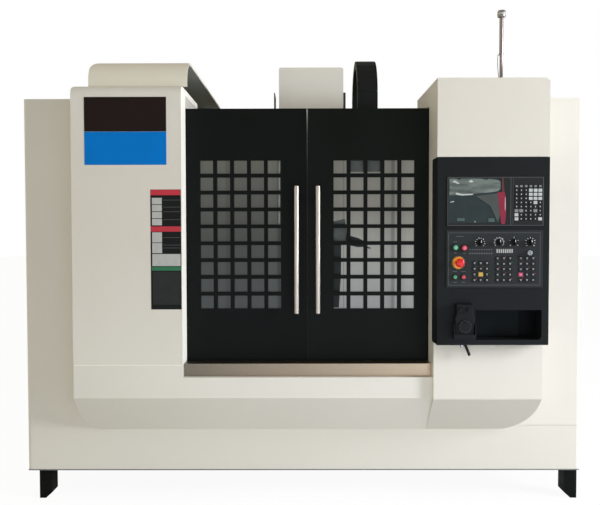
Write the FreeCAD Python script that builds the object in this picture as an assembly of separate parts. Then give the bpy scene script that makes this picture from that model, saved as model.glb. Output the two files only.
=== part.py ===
import FreeCAD, Part
import math
import os

# Vertical machining centre with a full enclosure, modelled in millimetres.
# Frame: +Z up, +X to the operator's right, the operator stands on the -Y side.
# Origin on the floor, under the middle of the machine's bounding box. Heights in this script are
# measured from a level 25 mm below the floor, and save() moves each piece down to the floor's level.

V = FreeCAD.Vector

# ---------------------------------------------------------------- driving dimensions
DEPTH = 2200.0             # front of the stop button to the back of the cabinet
BUTTON_REACH = 50.0        # how far the stop button stands out of the control box
FRONT = -DEPTH / 2 + BUTTON_REACH   # Y of the control box's front face
HALF_WIDTH = 1339.0        # half the width over the side covers
FLOOR = 25.0               # height of the floor
SHEET = 4.0                # folded sheet of the covers
BODY_FACE = 270.0          # set-back of the wide body's front face
BODY_BACK = 1500.0         # set-back of the wide body's rear wall
BODY_TOP = 1964.0          # height of the wide body
SKIRT_BOTTOM = 170.0       # lower edge of the skirt
SKIRT_TOP = 389.0          # seam between the skirt and the right cover
CORNER_BEND = 18.0         # bend radius at the covers' vertical edges

OPENING_LEFT = -553.0      # working opening between the two pillars
OPENING_RIGHT = 593.0
OPENING_MID = (OPENING_LEFT + OPENING_RIGHT) / 2
PILLAR_LEFT = -1055.0      # outer sides of the pillars
PILLAR_RIGHT = 1087.0
LEFT_FACE = 95.0           # set-back of the left pillar and of the apron
RIGHT_FACE = 70.0          # set-back of the right pillar below the control box
LEFT_TOP = 1996.0          # top of the left pillar
LEFT_CAP, RIGHT_CAP = 600.0, 555.0  # set-back of the pillars' rear upper edges
CAP_SKIRT = 1900.0         # how far the caps' inner walls reach down
HOOD_X0, HOOD_X1 = -986.0, -531.0   # hood over the tool magazine
HOOD_FRONT, HOOD_BACK, HOOD_TOP = 140.0, 1470.0, 2124.0
RIGHT_TOP = 2004.0         # top of the right pillar
APRON_SEAM = 719.0         # seam between the left pillar and the apron
APRON_TOP = 660.0          # apron's edge under the doors
CREASE = 564.0             # crease where the chin starts
CHIN_BOTTOM = 372.0        # where the chin meets the skirt

BOX_BOTTOM = 824.0         # control box
BOX_TOP = 1656.0
BOX_DEPTH = 132.0
BOX_LEFT = 595.0
BOX_RIGHT = 1089.0

DOOR_FACE = 218.0          # set-back of the doors' front face
DOOR_THICK = 28.0
DOOR_BOTTOM = 706.0
DOOR_TOP = 1908.0
DOOR_LAP = 20.0            # how far a closed door reaches behind its pillar
SEAM_GAP = 1.0             # half the gap between the closed doors
RAIL_BACK, RAIL_Z0, RAIL_Z1 = 262.0, 1862.0, 1882.0     # upper rail of the doors
GUIDE_D0, GUIDE_D1 = 226.0, 236.0   # lower guide of the doors
GUIDE_BASE = 692.0
RUN_GAP = 0.1              # clearance between a door and its guides
PANE = 62.0                # square windows pressed through the door sheet
PANE_PITCH = 80.0
PANE_COLS, PANE_ROWS = 5, 9
PANE_LOW = 963.0           # lower edge of the lowest row
LEFT_PANE_X = -486.0       # left edge of each door's first column
RIGHT_PANE_X = 145.0
HANDLE_OFFSET = 50.0       # handle's distance from the middle seam
HANDLE_RADIUS = 11.0
HANDLE_LOW, HANDLE_HIGH = 944.0, 1543.0
HANDLE_STAND_OFF = 52.0

PANEL_PLATE = 4.0          # thickness of the panels on the control box
UNIT_X0, UNIT_X1 = 636.0, 1062.0    # display with its keypad
UNIT_Z0, UNIT_Z1 = 1353.0, 1570.0
SCREEN_X0, SCREEN_X1 = 643.0, 871.0
SCREEN_Z0, SCREEN_Z1 = 1366.0, 1562.0
PANEL_X0, PANEL_X1 = 634.0, 1060.0  # operator panel
PANEL_Z0, PANEL_Z1 = 1080.0, 1335.0
RECESS_X0, RECESS_X1 = 765.0, 1058.0    # storage pocket
RECESS_Z0, RECESS_Z1 = 847.0, 980.0
RECESS_DEPTH = 100.0
START = (673.0, 1258.0)    # X and Z of the controls
HOLD = (712.0, 1256.0)
POWER_ON = (672.0, 1127.5)
POWER_OFF = (709.5, 1127.5)
STOP = (687.0, 1191.0)
KNOBS = {"mode_knob": (782.0, 1279.0), "feed_knob": (866.0, 1281.0),
         "rapid_knob": (932.0, 1281.0), "speed_knob": (1004.0, 1280.0)}
KEY_SWITCH = (1001.0, 1234.5)
BUTTON_TRAVEL = 3.0        # how far the start and hold buttons press in
SMALL_TRAVEL = 2.5
STOP_TRAVEL = 4.0
BUTTON_BORE = 11.5         # hole in the panel behind each button
SMALL_BORE = 8.5
STOP_BORE = 11.5
PLAY = 0.3                 # clearance of a button in its hole
HAND_X0, HAND_X1 = 668.0, 752.0    # hand unit with its pulse dial
HAND_Z0, HAND_Z1 = 862.0, 1010.0
HAND_DEPTH = 38.0
DIAL = (710.0, 912.0)

AXIS_X = 36.0              # spindle axis
AXIS_BACK = 760.0          # set-back of the spindle axis
TABLE_TOP = 870.0
NOSE = 1300.0              # spindle nose at rest
PAD_HEIGHT = 28.0          # thickness of the levelling pads
BASE_BOTTOM, BASE_TOP = 175.0, 560.0
BASE_HALF, BASE_FRONT, BASE_BACK = 470.0, 300.0, 1760.0
COLUMN_FRONT, COLUMN_BACK = 1330.0, 1740.0
COLUMN_HALF, COLUMN_FOOT, COLUMN_TOP = 250.0, 330.0, 1880.0
SADDLE_BOTTOM, SADDLE_TOP, SADDLE_HALF = 605.0, 735.0, 500.0
TABLE_BOTTOM, TABLE_HALF = 780.0, 450.0
TABLE_FRONT, TABLE_BACK = AXIS_BACK - 200.0, AXIS_BACK + 200.0
Y_RAIL, X_RAIL, Z_RAIL = 220.0, 150.0, 165.0      # rails' distance from their middle
Y_SCREW_Z, X_SCREW_Z, Z_SCREW_BACK = 500.0, 710.0, 1292.0
SCREW = 16.0               # ball screw radius
NUT_BORE = SCREW + 0.05
HEAD_PLATE_BACK = 1262.0
HEAD_BOTTOM, HEAD_TOP = 1345.0, 1690.0
SPINDLE_RADIUS = 60.0
SLOT_PITCH, SLOT_HALF, SLOT_WIDE = 125.0, 9.0, 16.0
SLOT_NECK, SLOT_DEPTH = 22.0, 36.0

CHAIN_X0, CHAIN_X1 = 300.0, 410.0
CHAIN_THICK = 45.0
CHAIN_FRONT, CHAIN_RADIUS = 782.5, 200.0
CHAIN_REAR = CHAIN_FRONT + 2 * CHAIN_RADIUS
CHAIN_CENTRE = 2076.0      # height of the loop's centre at rest
CHAIN_FOOT = 1490.0

DISC_HEIGHT, DISC_X = 1640.0, -600.0
POT_CIRCLE, POT_COUNT, POT_RADIUS, POT_LENGTH = 325.0, 16, 34.0, 112.0
ARM_X, ARM_Z = -322.0, 1200.0
ARM_REACH = 358.0
ARM_THICK = 45.0
SHAFT_RADIUS = 28.0

CABINET_X0, CABINET_X1 = -514.0, 586.0
CABINET_Z0, CABINET_Z1 = 420.0, 1880.0
CABINET_FRONT, CABINET_BACK = 1850.0, 2120.0
HINGE_X, HINGE_BACK, HINGE_RADIUS = CABINET_X0 - 6.0, 2144.0, 6.0
HINGE_HEIGHTS = (600.0, 1150.0, 1700.0)


def back(distance):
    """Y of a plane this far behind the control box's front face."""
    return FRONT + distance


def at_x(offset):
    """X of a plane this far to the right of the spindle axis."""
    return AXIS_X + offset


UNIT_FACE = back(0) - PANEL_PLATE   # front of the display unit and the operator panel


# ---------------------------------------------------------------- shape helpers
def block(x0, x1, y0, y1, z0, z1):
    return Part.makeBox(x1 - x0, y1 - y0, z1 - z0, V(x0, y0, z0))


def rod(radius, start, end):
    """Round bar between two points."""
    axis = V(*end) - V(*start)
    return Part.makeCylinder(radius, axis.Length, V(*start), axis)


def facet_rod(sides, radius, start, end):
    """Bar with flat sides between two points, measured over its corners."""
    axis = V(*end) - V(*start)
    turn = FreeCAD.Rotation(V(0, 0, 1), axis)
    corners = []
    for n in range(sides):
        angle = 2 * math.pi * (n + 0.5) / sides
        spoke = V(radius * math.cos(angle), radius * math.sin(angle), 0)
        corners.append(V(*start) + turn.multVec(spoke))
    return Part.Face(Part.makePolygon(corners + corners[:1])).extrude(axis)


def facet_taper(sides, radius_a, radius_b, place, z0, z1):
    """Upright taper with flat sides."""
    low, high = [], []
    for n in range(sides):
        angle = 2 * math.pi * n / sides
        x, y = math.cos(angle), math.sin(angle)
        low.append(V(place[0] + radius_a * x, place[1] + radius_a * y, z0))
        high.append(V(place[0] + radius_b * x, place[1] + radius_b * y, z1))
    loops = [low, high]
    for n in range(sides):
        after = (n + 1) % sides
        loops.append([low[n], low[after], high[after], high[n]])
    faces = [Part.Face(Part.makePolygon(loop + loop[:1])) for loop in loops]
    return Part.makeSolid(Part.makeShell(faces))


def prism(points, direction):
    """Polygon of 3-D points, extruded along a vector."""
    loop = [V(*p) for p in points]
    return Part.Face(Part.makePolygon(loop + loop[:1])).extrude(V(*direction))


def side_prism(profile, x0, x1):
    """Profile of (set-back, height) points, extruded across the machine."""
    return prism([(x0, back(d), z) for d, z in profile], (x1 - x0, 0, 0))


def join(shapes):
    """One solid from pieces that touch or overlap."""
    return shapes[0].multiFuse(shapes[1:]).removeSplitter()


def group(shapes):
    """Separate solids kept in one node."""
    return Part.makeCompound(shapes)


def near(value, target):
    return abs(value - target) < 0.01


def round_edges(shape, radius, test):
    """Fillet the straight edges whose two ends both pass the test."""
    edges = [e for e in shape.Edges
             if len(e.Vertexes) == 2 and all(test(v.Point) for v in e.Vertexes)]
    return shape.makeFillet(radius, edges)


def round_corners(shape, radius, test):
    """Fillet only the upright edges whose two ends both pass the test."""
    edges = [e for e in shape.Edges
             if len(e.Vertexes) == 2 and all(test(v.Point) for v in e.Vertexes)
             and not near(e.Vertexes[0].Z, e.Vertexes[1].Z)]
    return shape.makeFillet(radius, edges)


def bevel_edges(shape, size, test):
    edges = [e for e in shape.Edges
             if len(e.Vertexes) == 2 and all(test(v.Point) for v in e.Vertexes)]
    return shape.makeChamfer(size, edges)


def save(name, shape):
    shape.translated(V(0, 0, -FLOOR)).exportStep("parts/" + name + ".step")


os.makedirs("parts", exist_ok=True)


# ---------------------------------------------------------------- enclosure
def front_skirt():
    """L-shaped front sheet: the left ear and the skirt below the chin, folded round both sides."""
    face = back(BODY_FACE)
    left_return, right_return = 60.0, BODY_BACK - BODY_FACE
    plan = block(-HALF_WIDTH, HALF_WIDTH, face, face + right_return, SKIRT_BOTTOM, BODY_TOP)
    plan = plan.cut(block(OPENING_LEFT, HALF_WIDTH + 1, face - 1, face + right_return + 1,
                          SKIRT_TOP, BODY_TOP + 1))
    plan = round_corners(plan, CORNER_BEND,
                         lambda p: near(p.y, face) and near(abs(p.x), HALF_WIDTH))
    inner = block(-HALF_WIDTH + SHEET, HALF_WIDTH - SHEET, face + SHEET,
                  face + right_return + 1, SKIRT_BOTTOM - 1, BODY_TOP - SHEET)
    inner = round_corners(inner, CORNER_BEND - SHEET,
                          lambda p: near(p.y, face + SHEET) and near(abs(p.x), HALF_WIDTH - SHEET))
    shell = plan.cut(inner)
    behind = block(-HALF_WIDTH - 1, OPENING_LEFT + 1, face + left_return,
                   face + right_return + 1, SKIRT_BOTTOM - 1, BODY_TOP + 1)
    cap_notch = block(OPENING_LEFT - SHEET - 0.5, OPENING_LEFT + 1, face - 1, face + left_return + 1,
                      CAP_SKIRT - 1, BODY_TOP + 1)
    return shell.cut(behind).cut(cap_notch)


def left_side_cover():
    """Left side wall with its roof flange, behind the ear."""
    start = back(BODY_FACE + 60) + 0.5
    wall = block(-HALF_WIDTH, -HALF_WIDTH + SHEET, start, back(BODY_BACK), SKIRT_BOTTOM, BODY_TOP)
    edge = HOOD_X0 + SHEET
    roof = block(-HALF_WIDTH, edge, start, back(BODY_BACK), BODY_TOP - SHEET, BODY_TOP)
    curb = block(edge - SHEET, edge, start, back(BODY_BACK), BODY_TOP - 40, BODY_TOP)
    return join([wall, roof, curb])


def right_side_cover():
    """Right ear and side wall above the skirt's seam, folded from one sheet."""
    face, rear = back(BODY_FACE), back(BODY_BACK)
    bottom = SKIRT_TOP + 1.5
    outer = block(OPENING_RIGHT, HALF_WIDTH, face, rear, bottom, BODY_TOP)
    outer = round_corners(outer, CORNER_BEND,
                          lambda p: near(p.y, face) and near(p.x, HALF_WIDTH))
    inner = block(OPENING_RIGHT - 1, HALF_WIDTH - SHEET, face + SHEET, rear + 1,
                  bottom - 1, BODY_TOP - SHEET)
    inner = round_corners(inner, CORNER_BEND - SHEET,
                          lambda p: near(p.y, face + SHEET) and near(p.x, HALF_WIDTH - SHEET))
    roof_gap = block(OPENING_RIGHT - 1, 700, back(RIGHT_CAP + 4), rear + 1, BODY_TOP - 10, BODY_TOP + 1)
    cap_notch = block(OPENING_RIGHT - 1, OPENING_RIGHT + SHEET + 0.5, face - 1, rear + 1,
                      CAP_SKIRT - 1, BODY_TOP + 1)
    return outer.cut(inner).cut(roof_gap).cut(cap_notch)


def rear_cover():
    """Rear wall on both sides of the column."""
    y0, y1 = back(BODY_BACK) + 0.5, back(BODY_BACK) + 0.5 + SHEET
    wall = block(-HALF_WIDTH, HALF_WIDTH, y0, y1, SKIRT_BOTTOM, BODY_TOP)
    base_gap = block(at_x(-BASE_HALF - 5), at_x(BASE_HALF + 5), y0 - 1, y1 + 1,
                     SKIRT_BOTTOM - 1, BASE_TOP + 5)
    column_gap = block(at_x(-COLUMN_FOOT - 8), at_x(COLUMN_FOOT + 8), y0 - 1, y1 + 1,
                       BASE_TOP, BODY_TOP + 1)
    return group(wall.cut(group([base_gap, column_gap])).Solids)


def door_slot(x0, x1):
    """Room for a sliding door inside a pillar and through its inner wall."""
    return block(x0, x1, back(DOOR_FACE - 12), back(BODY_FACE) + 1, GUIDE_BASE - 2, DOOR_TOP + 6)


def apron_outline(x0, x1, front, top, radius, left):
    """Lower cover: upright face, sloping chin, one rounded lower corner, hollow behind."""
    def body(inset):
        slope = inset * 0.42
        profile = [(BODY_FACE, CHIN_BOTTOM + inset * 1.3), (front + inset, CREASE + slope),
                   (front + inset, top - inset), (BODY_FACE, top - inset)]
        return side_prism(profile, x0 + inset, x1 - inset)

    def corner(inset):
        shape = block(x0 + inset, x1 - inset, back(0) - 1, back(BODY_FACE) + 1,
                      CHIN_BOTTOM, RIGHT_TOP + 1)
        edge = x0 + inset if left else x1 - inset
        return round_edges(shape, radius - inset,
                           lambda p: near(p.x, edge) and near(p.z, CHIN_BOTTOM))

    return body(0), corner(0), body(SHEET), corner(SHEET)


def front_apron():
    """Cover under the left pillar and the doors."""
    outer, corner, inner, inner_corner = apron_outline(PILLAR_LEFT, OPENING_RIGHT, LEFT_FACE,
                                                       APRON_SEAM, 90.0, True)
    notch = block(OPENING_LEFT, OPENING_RIGHT + 1, back(0), back(BODY_FACE) + 1,
                  APRON_TOP, APRON_SEAM + 1)
    outer = outer.common(corner).cut(notch)
    notch_inner = block(OPENING_LEFT - SHEET, OPENING_RIGHT + 1, back(0), back(BODY_FACE) + 1,
                        APRON_TOP - SHEET, APRON_SEAM + 1)
    inner = inner.common(inner_corner).cut(notch_inner)
    return outer.cut(inner).cut(door_slot(PILLAR_LEFT + SHEET, OPENING_LEFT + 1))


def cap_wall(x0, rear):
    """Inner wall that hangs down from a pillar's cap, behind the doors."""
    return block(x0, x0 + SHEET, back(BODY_FACE), back(rear), CAP_SKIRT, BODY_TOP + 4)


def left_pillar_cover():
    """Boxed cover with a rounded brow; its cap runs further back than its legs."""
    brow, shoulder = 45.0, 18.0

    def body(inset):
        profile = [(LEFT_FACE + inset, APRON_SEAM + inset), (LEFT_FACE + inset, LEFT_TOP - inset),
                   (LEFT_CAP - inset, LEFT_TOP - inset), (LEFT_CAP - inset, BODY_TOP + 3),
                   (BODY_FACE, BODY_TOP + 3), (BODY_FACE, APRON_SEAM + inset)]
        shape = side_prism(profile, PILLAR_LEFT + inset, OPENING_LEFT - inset)
        front, edge, top = back(LEFT_FACE + inset), PILLAR_LEFT + inset, LEFT_TOP - inset
        shape = round_edges(shape, brow - inset, lambda p: near(p.y, front) and near(p.z, top))
        limit = block(edge, OPENING_LEFT, back(0), back(LEFT_CAP), APRON_SEAM, top)
        return shape.common(round_edges(limit, shoulder - inset,
                                        lambda p: near(p.x, edge) and near(p.z, top)))

    shell = body(0).cut(body(SHEET))
    rear_opening = block(PILLAR_LEFT + SHEET, OPENING_LEFT - SHEET, back(BODY_FACE) - 2,
                         back(BODY_FACE) + 1, APRON_SEAM + SHEET, BODY_TOP)
    cover = shell.cut(rear_opening).cut(door_slot(PILLAR_LEFT + SHEET, OPENING_LEFT + 1))
    return join([cover, cap_wall(OPENING_LEFT - SHEET, LEFT_CAP)])


def right_pillar_cover():
    """Right pillar: chin and lower face, a recess for the control box, a deep box on top."""
    def body(inset):
        recess = BOX_DEPTH + 1
        profile = [(BODY_FACE, CHIN_BOTTOM + inset * 1.3), (RIGHT_FACE + inset, CREASE + inset * 0.42),
                   (RIGHT_FACE + inset, BOX_BOTTOM - 2 - inset), (recess + inset, BOX_BOTTOM - 2 - inset),
                   (recess + inset, BOX_TOP + 2 + inset), (inset, BOX_TOP + 2 + inset),
                   (inset, RIGHT_TOP - inset), (RIGHT_CAP - inset, RIGHT_TOP - inset),
                   (RIGHT_CAP - inset, BODY_TOP + 3), (BODY_FACE, BODY_TOP + 3)]
        return side_prism(profile, OPENING_RIGHT + inset, PILLAR_RIGHT - inset)

    def corner(inset, radius):
        shape = block(OPENING_RIGHT + inset, PILLAR_RIGHT - inset, back(0) - 1, back(RIGHT_CAP) + 1,
                      CHIN_BOTTOM, RIGHT_TOP + 1)
        return round_edges(shape, radius - inset,
                           lambda p: near(p.x, PILLAR_RIGHT - inset) and near(p.z, CHIN_BOTTOM))

    radius = 150.0
    outer = body(0).common(corner(0, radius))
    outer = bevel_edges(outer, 14.0, lambda p: near(p.x, PILLAR_RIGHT) and near(p.z, RIGHT_TOP))
    inner = body(SHEET).common(corner(SHEET, radius))
    shell = outer.cut(inner)
    rear_opening = block(OPENING_RIGHT + SHEET, PILLAR_RIGHT - SHEET, back(BODY_FACE) - 2,
                         back(BODY_FACE) + 1, CHIN_BOTTOM + 140, BODY_TOP)
    cover = shell.cut(rear_opening).cut(door_slot(OPENING_RIGHT - 1, PILLAR_RIGHT - SHEET))
    return join([cover, cap_wall(OPENING_RIGHT, RIGHT_CAP)])


def magazine_hood():
    """Roof over the tool magazine, closed at the front and left, open towards the spindle."""
    x0, x1, front, rear, brow = HOOD_X0, HOOD_X1, back(HOOD_FRONT), back(HOOD_BACK), 105.0
    shoulder = 45.0

    def body(inset, right, bottom):
        left, face, top = x0 + inset, front + inset, HOOD_TOP - inset
        shape = block(left, right, face, rear - inset, bottom, top)
        limit = round_edges(shape, shoulder - inset, lambda p: near(p.x, left) and near(p.z, top))
        shape = round_edges(shape, brow - inset, lambda p: near(p.y, face) and near(p.z, top))
        return shape.common(limit)

    shell = body(0, x1, LEFT_TOP).cut(body(SHEET, x1 + 1, LEFT_TOP - 1))
    foot = block(x0, x0 + SHEET, back(LEFT_CAP) + 1, rear, BODY_TOP, LEFT_TOP + 1)
    heel = block(x0, x1, rear - SHEET, rear, BODY_TOP, LEFT_TOP + 1)
    return join([shell, foot, heel])


def door_tracks():
    """Stainless sill with its lower guide, and the upper rail that the doors hang from."""
    top, bottom = APRON_SEAM - 1, APRON_TOP
    x0, x1 = OPENING_LEFT + 0.5, OPENING_RIGHT - 0.5
    sill = side_prism([(125, bottom), (125, top), (209, top), (209, GUIDE_BASE),
                       (BODY_FACE, GUIDE_BASE), (BODY_FACE, bottom)], x0, x1)
    guide = block(x0, x1, back(GUIDE_D0), back(GUIDE_D1), GUIDE_BASE - 1, DOOR_BOTTOM - 2)
    rail = block(PILLAR_LEFT + SHEET + 1, PILLAR_RIGHT - SHEET - 1, back(RAIL_BACK),
                 back(BODY_FACE), RAIL_Z0, RAIL_Z1)
    return group([join([sill, guide]), rail])


# ---------------------------------------------------------------- doors
def hanger(x):
    """Bracket behind a door that hooks over the upper rail."""
    profile = [(DOOR_FACE + 1, RAIL_Z0), (RAIL_BACK - 3, RAIL_Z0), (RAIL_BACK - 3, RAIL_Z1 + RUN_GAP),
               (BODY_FACE - 1, RAIL_Z1 + RUN_GAP), (BODY_FACE - 1, RAIL_Z1 + 12),
               (DOOR_FACE + 1, RAIL_Z1 + 12)]
    return side_prism(profile, x, x + 60)


def shoe(x):
    """Forked shoe under a door that straddles the lower guide."""
    low = GUIDE_BASE + 1
    profile = [(GUIDE_D0 - 5, low), (GUIDE_D0 - RUN_GAP, low), (GUIDE_D0 - RUN_GAP, DOOR_BOTTOM - 1),
               (GUIDE_D1 + RUN_GAP, DOOR_BOTTOM - 1), (GUIDE_D1 + RUN_GAP, low), (GUIDE_D1 + 5, low),
               (GUIDE_D1 + 5, DOOR_BOTTOM + 1), (GUIDE_D0 - 5, DOOR_BOTTOM + 1)]
    return side_prism(profile, x, x + 60)


def door(x0, x1, pane_x):
    """Folded door leaf: tray with a hem all round, a grid of square windows, hangers and shoes."""
    y0, y1 = back(DOOR_FACE), back(DOOR_FACE + DOOR_THICK)
    leaf = block(x0, x1, y0, y1, DOOR_BOTTOM, DOOR_TOP)
    hollow = block(x0 + SHEET, x1 - SHEET, y0 + SHEET, y1 + 1,
                   DOOR_BOTTOM + SHEET, DOOR_TOP - SHEET)
    grid_x1 = pane_x + (PANE_COLS - 1) * PANE_PITCH + PANE
    grid_z1 = PANE_LOW + (PANE_ROWS - 1) * PANE_PITCH + PANE
    margin = 22.0
    stiffener = block(pane_x - margin, grid_x1 + margin, y0, y1 - 8,
                      PANE_LOW - margin, grid_z1 + margin)
    leaf = leaf.cut(hollow).fuse(stiffener)
    holes = []
    for column in range(PANE_COLS):
        for row in range(PANE_ROWS):
            px, pz = pane_x + column * PANE_PITCH, PANE_LOW + row * PANE_PITCH
            holes.append(block(px, px + PANE, y0 - 1, y1 + 1, pz, pz + PANE))
    runners = [make(x) for make in (hanger, shoe) for x in (x0 + 40, x1 - 100)]
    return join([leaf.cut(group(holes))] + runners)


def window(pane_x):
    """Clear sheet clipped behind a door's grid."""
    y0 = back(DOOR_FACE + DOOR_THICK - 8)
    margin = 18.0
    return block(pane_x - margin, pane_x + (PANE_COLS - 1) * PANE_PITCH + PANE + margin,
                 y0, y0 + 6, PANE_LOW - margin,
                 PANE_LOW + (PANE_ROWS - 1) * PANE_PITCH + PANE + margin)


def door_handle(x):
    """Round steel bar on two stand-off posts."""
    y = back(DOOR_FACE - HANDLE_STAND_OFF)
    bar = facet_rod(24, HANDLE_RADIUS, (x, y, HANDLE_LOW), (x, y, HANDLE_HIGH))
    posts = [facet_rod(12, 8.0, (x, y, z), (x, back(DOOR_FACE), z))
             for z in (HANDLE_LOW + 50, HANDLE_HIGH - 50)]
    return join([bar] + posts)


# ---------------------------------------------------------------- control box
def control_box():
    """Folded black housing with a storage pocket and a bracket that holds the hand unit."""
    front, rear = back(0), back(BOX_DEPTH)
    wall = 6.0
    outer = block(BOX_LEFT, BOX_RIGHT, front, rear, BOX_BOTTOM, BOX_TOP)
    for height in (BOX_BOTTOM, BOX_TOP):
        outer = round_edges(outer, 20.0, lambda p: near(p.y, rear) and near(p.z, height))
    inner = block(BOX_LEFT + wall, BOX_RIGHT - wall, front + wall, rear - wall,
                  RECESS_Z1 + 2 * wall, BOX_TOP - wall)
    pocket = block(RECESS_X0, RECESS_X1, front - 1, front + RECESS_DEPTH, RECESS_Z0, RECESS_Z1)
    pocket = round_edges(pocket, 18.0, lambda p: near(p.x, RECESS_X1) and near(p.z, RECESS_Z0))
    rim = 8.0
    behind_panel = block(PANEL_X0 + rim, PANEL_X1 - rim, front - 1, front + wall + 1,
                         PANEL_Z0 + rim, PANEL_Z1 - rim)
    housing = outer.cut(inner).cut(pocket).cut(behind_panel)
    x0, x1, y0 = HAND_X0 - 6, HAND_X1 + 6, front - HAND_DEPTH - 8
    floor = HAND_Z0 - 6
    shelf = block(x0, x1, y0, front, floor, HAND_Z0)
    lip = block(x0, x1, y0, y0 + 4, floor, HAND_Z0 + 16)
    sides = [block(x, x + 4, y0, front, floor, HAND_Z0 + 60) for x in (x0, x1 - 4)]
    return join([housing, shelf, lip] + sides)


def display_unit():
    """Bezel of the display with its keypad field beside it."""
    y1 = back(0)
    plate = block(UNIT_X0, UNIT_X1, UNIT_FACE, y1, UNIT_Z0, UNIT_Z1)
    plate = bevel_edges(plate, 1.5, lambda p: near(p.y, UNIT_FACE))
    screen = block(SCREEN_X0, SCREEN_X1, UNIT_FACE - 1, y1 + 1, SCREEN_Z0, SCREEN_Z1)
    groove = block(926, 928, UNIT_FACE - 1, UNIT_FACE + 1.5, UNIT_Z0 - 1, UNIT_Z1 + 1)
    return plate.cut(screen).cut(groove)


def display_screen():
    return block(SCREEN_X0 + 0.3, SCREEN_X1 - 0.3, UNIT_FACE + 1.5, back(0),
                 SCREEN_Z0 + 0.3, SCREEN_Z1 - 0.3)


def key_grid(x, z, columns, rows, pitch_x, pitch_z, width, height, face):
    """Rows of flat keys, counted to the right and down from the first key's middle."""
    keys = []
    for column in range(columns):
        for row in range(rows):
            kx, kz = x + column * pitch_x, z - row * pitch_z
            keys.append(block(kx - width / 2, kx + width / 2, face - 2.5, face,
                              kz - height / 2, kz + height / 2))
    return keys


def panel_keys():
    """Membrane keys of the keypad and of the operator panel."""
    keys = key_grid(941.0, 1528.0, 6, 9, 20.8, 18.0, 16.0, 13.5, UNIT_FACE)
    keys += key_grid(758.0, 1189.0, 3, 4, 27.5, 25.0, 19.0, 17.0, UNIT_FACE)
    keys += key_grid(860.0, 1210.0, 3, 5, 27.5, 24.0, 19.0, 17.0, UNIT_FACE)
    keys += key_grid(962.0, 1210.0, 3, 5, 27.5, 24.0, 19.0, 17.0, UNIT_FACE)
    return group(keys)


def collar(x, z, radius, bore, reach):
    """Ring round a button."""
    ring = facet_rod(16, radius, (x, UNIT_FACE, z), (x, UNIT_FACE - reach, z))
    return ring.cut(facet_rod(16, bore, (x, UNIT_FACE + 1, z), (x, UNIT_FACE - reach - 1, z)))


def operator_panel():
    """Panel plate with the collars of its buttons."""
    y1 = back(0)
    plate = block(PANEL_X0, PANEL_X1, UNIT_FACE, y1, PANEL_Z0, PANEL_Z1)
    plate = bevel_edges(plate, 1.5, lambda p: near(p.y, UNIT_FACE))
    parts = [plate]
    bores = []
    for (x, z), radius, bore, reach in ((START, 16.0, BUTTON_BORE, 6.0),
                                        (HOLD, 16.0, BUTTON_BORE, 6.0),
                                        (POWER_ON, 12.5, SMALL_BORE, 5.0),
                                        (POWER_OFF, 12.5, SMALL_BORE, 5.0),
                                        (STOP, 29.0, STOP_BORE, 4.0)):
        parts.append(collar(x, z, radius, bore, reach))
        bores.append((x, z, bore))
    shape = join(parts)
    for x, z, bore in bores:
        shape = shape.cut(facet_rod(16, bore, (x, y1 + 1, z), (x, UNIT_FACE - 10, z)))
    return shape


def push_button(place, radius, reach, travel):
    """Button that slides in its collar, with a raised rim round its cap."""
    x, z = place
    face = UNIT_FACE - reach
    return join([facet_rod(16, radius, (x, back(0) - travel, z), (x, face + 1.5, z)),
                 facet_rod(16, radius - 1.2, (x, face + 1.5, z), (x, face, z))])


def emergency_stop():
    """Mushroom head on its stem."""
    x, z = STOP
    tip = back(0) - BUTTON_REACH
    stem = facet_rod(16, STOP_BORE - PLAY, (x, back(0) - STOP_TRAVEL, z), (x, tip + 16, z))
    head = facet_rod(24, 20.0, (x, tip + 16, z), (x, tip + 5, z))
    crown = facet_rod(24, 16.5, (x, tip + 5, z), (x, tip, z))
    return join([stem, head, crown])


def rotary_knob(place):
    """Fluted selector knob with a grip bar across it."""
    x, z = place
    face = UNIT_FACE
    skirt = facet_rod(16, 14.5, (x, face, z), (x, face - 9, z))
    grip = block(x - 4.5, x + 4.5, face - 24, face - 8, z - 12.0, z + 12.0)
    grip = bevel_edges(grip, 3.0, lambda p: near(p.y, face - 24))
    return join([skirt, grip])


def key_switch():
    """Lock barrel with its key."""
    x, z = KEY_SWITCH
    face = UNIT_FACE
    barrel = facet_rod(16, 11.0, (x, face, z), (x, face - 8, z))
    key = block(x - 1.2, x + 1.2, face - 28, face - 7, z - 8.0, z + 8.0)
    return join([barrel, key])


def hand_unit():
    """Hand-held unit that hangs in the bracket: a waisted box with two selectors."""
    y1 = back(0) - 2.0
    y0 = y1 - HAND_DEPTH + 2.0
    outline = [(HAND_X0, HAND_Z0), (HAND_X1, HAND_Z0), (HAND_X1, HAND_Z0 + 88),
               (HAND_X1 - 6, HAND_Z0 + 104), (HAND_X1 - 6, HAND_Z1),
               (HAND_X0 + 6, HAND_Z1), (HAND_X0 + 6, HAND_Z0 + 104), (HAND_X0, HAND_Z0 + 88)]
    body = prism([(x, y1, z) for x, z in outline], (0, y0 - y1, 0))
    body = bevel_edges(body, 3.0, lambda p: near(p.y, y0))
    selectors = [facet_rod(12, 10.0, (x, y0, HAND_Z1 - 24), (x, y0 - 10, HAND_Z1 - 24))
                 for x in (DIAL[0] - 19, DIAL[0] + 19)]
    return join([body] + selectors)


def pulse_dial():
    """Fluted pulse dial of the hand unit, with its finger peg."""
    x, z = DIAL
    y0 = back(0) - HAND_DEPTH
    disc = facet_rod(24, 29.0, (x, y0, z), (x, y0 - 8, z))
    peg = facet_rod(12, 5.0, (x, y0 - 8, z + 19), (x, y0 - 12, z + 19))
    return join([disc, peg])


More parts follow.
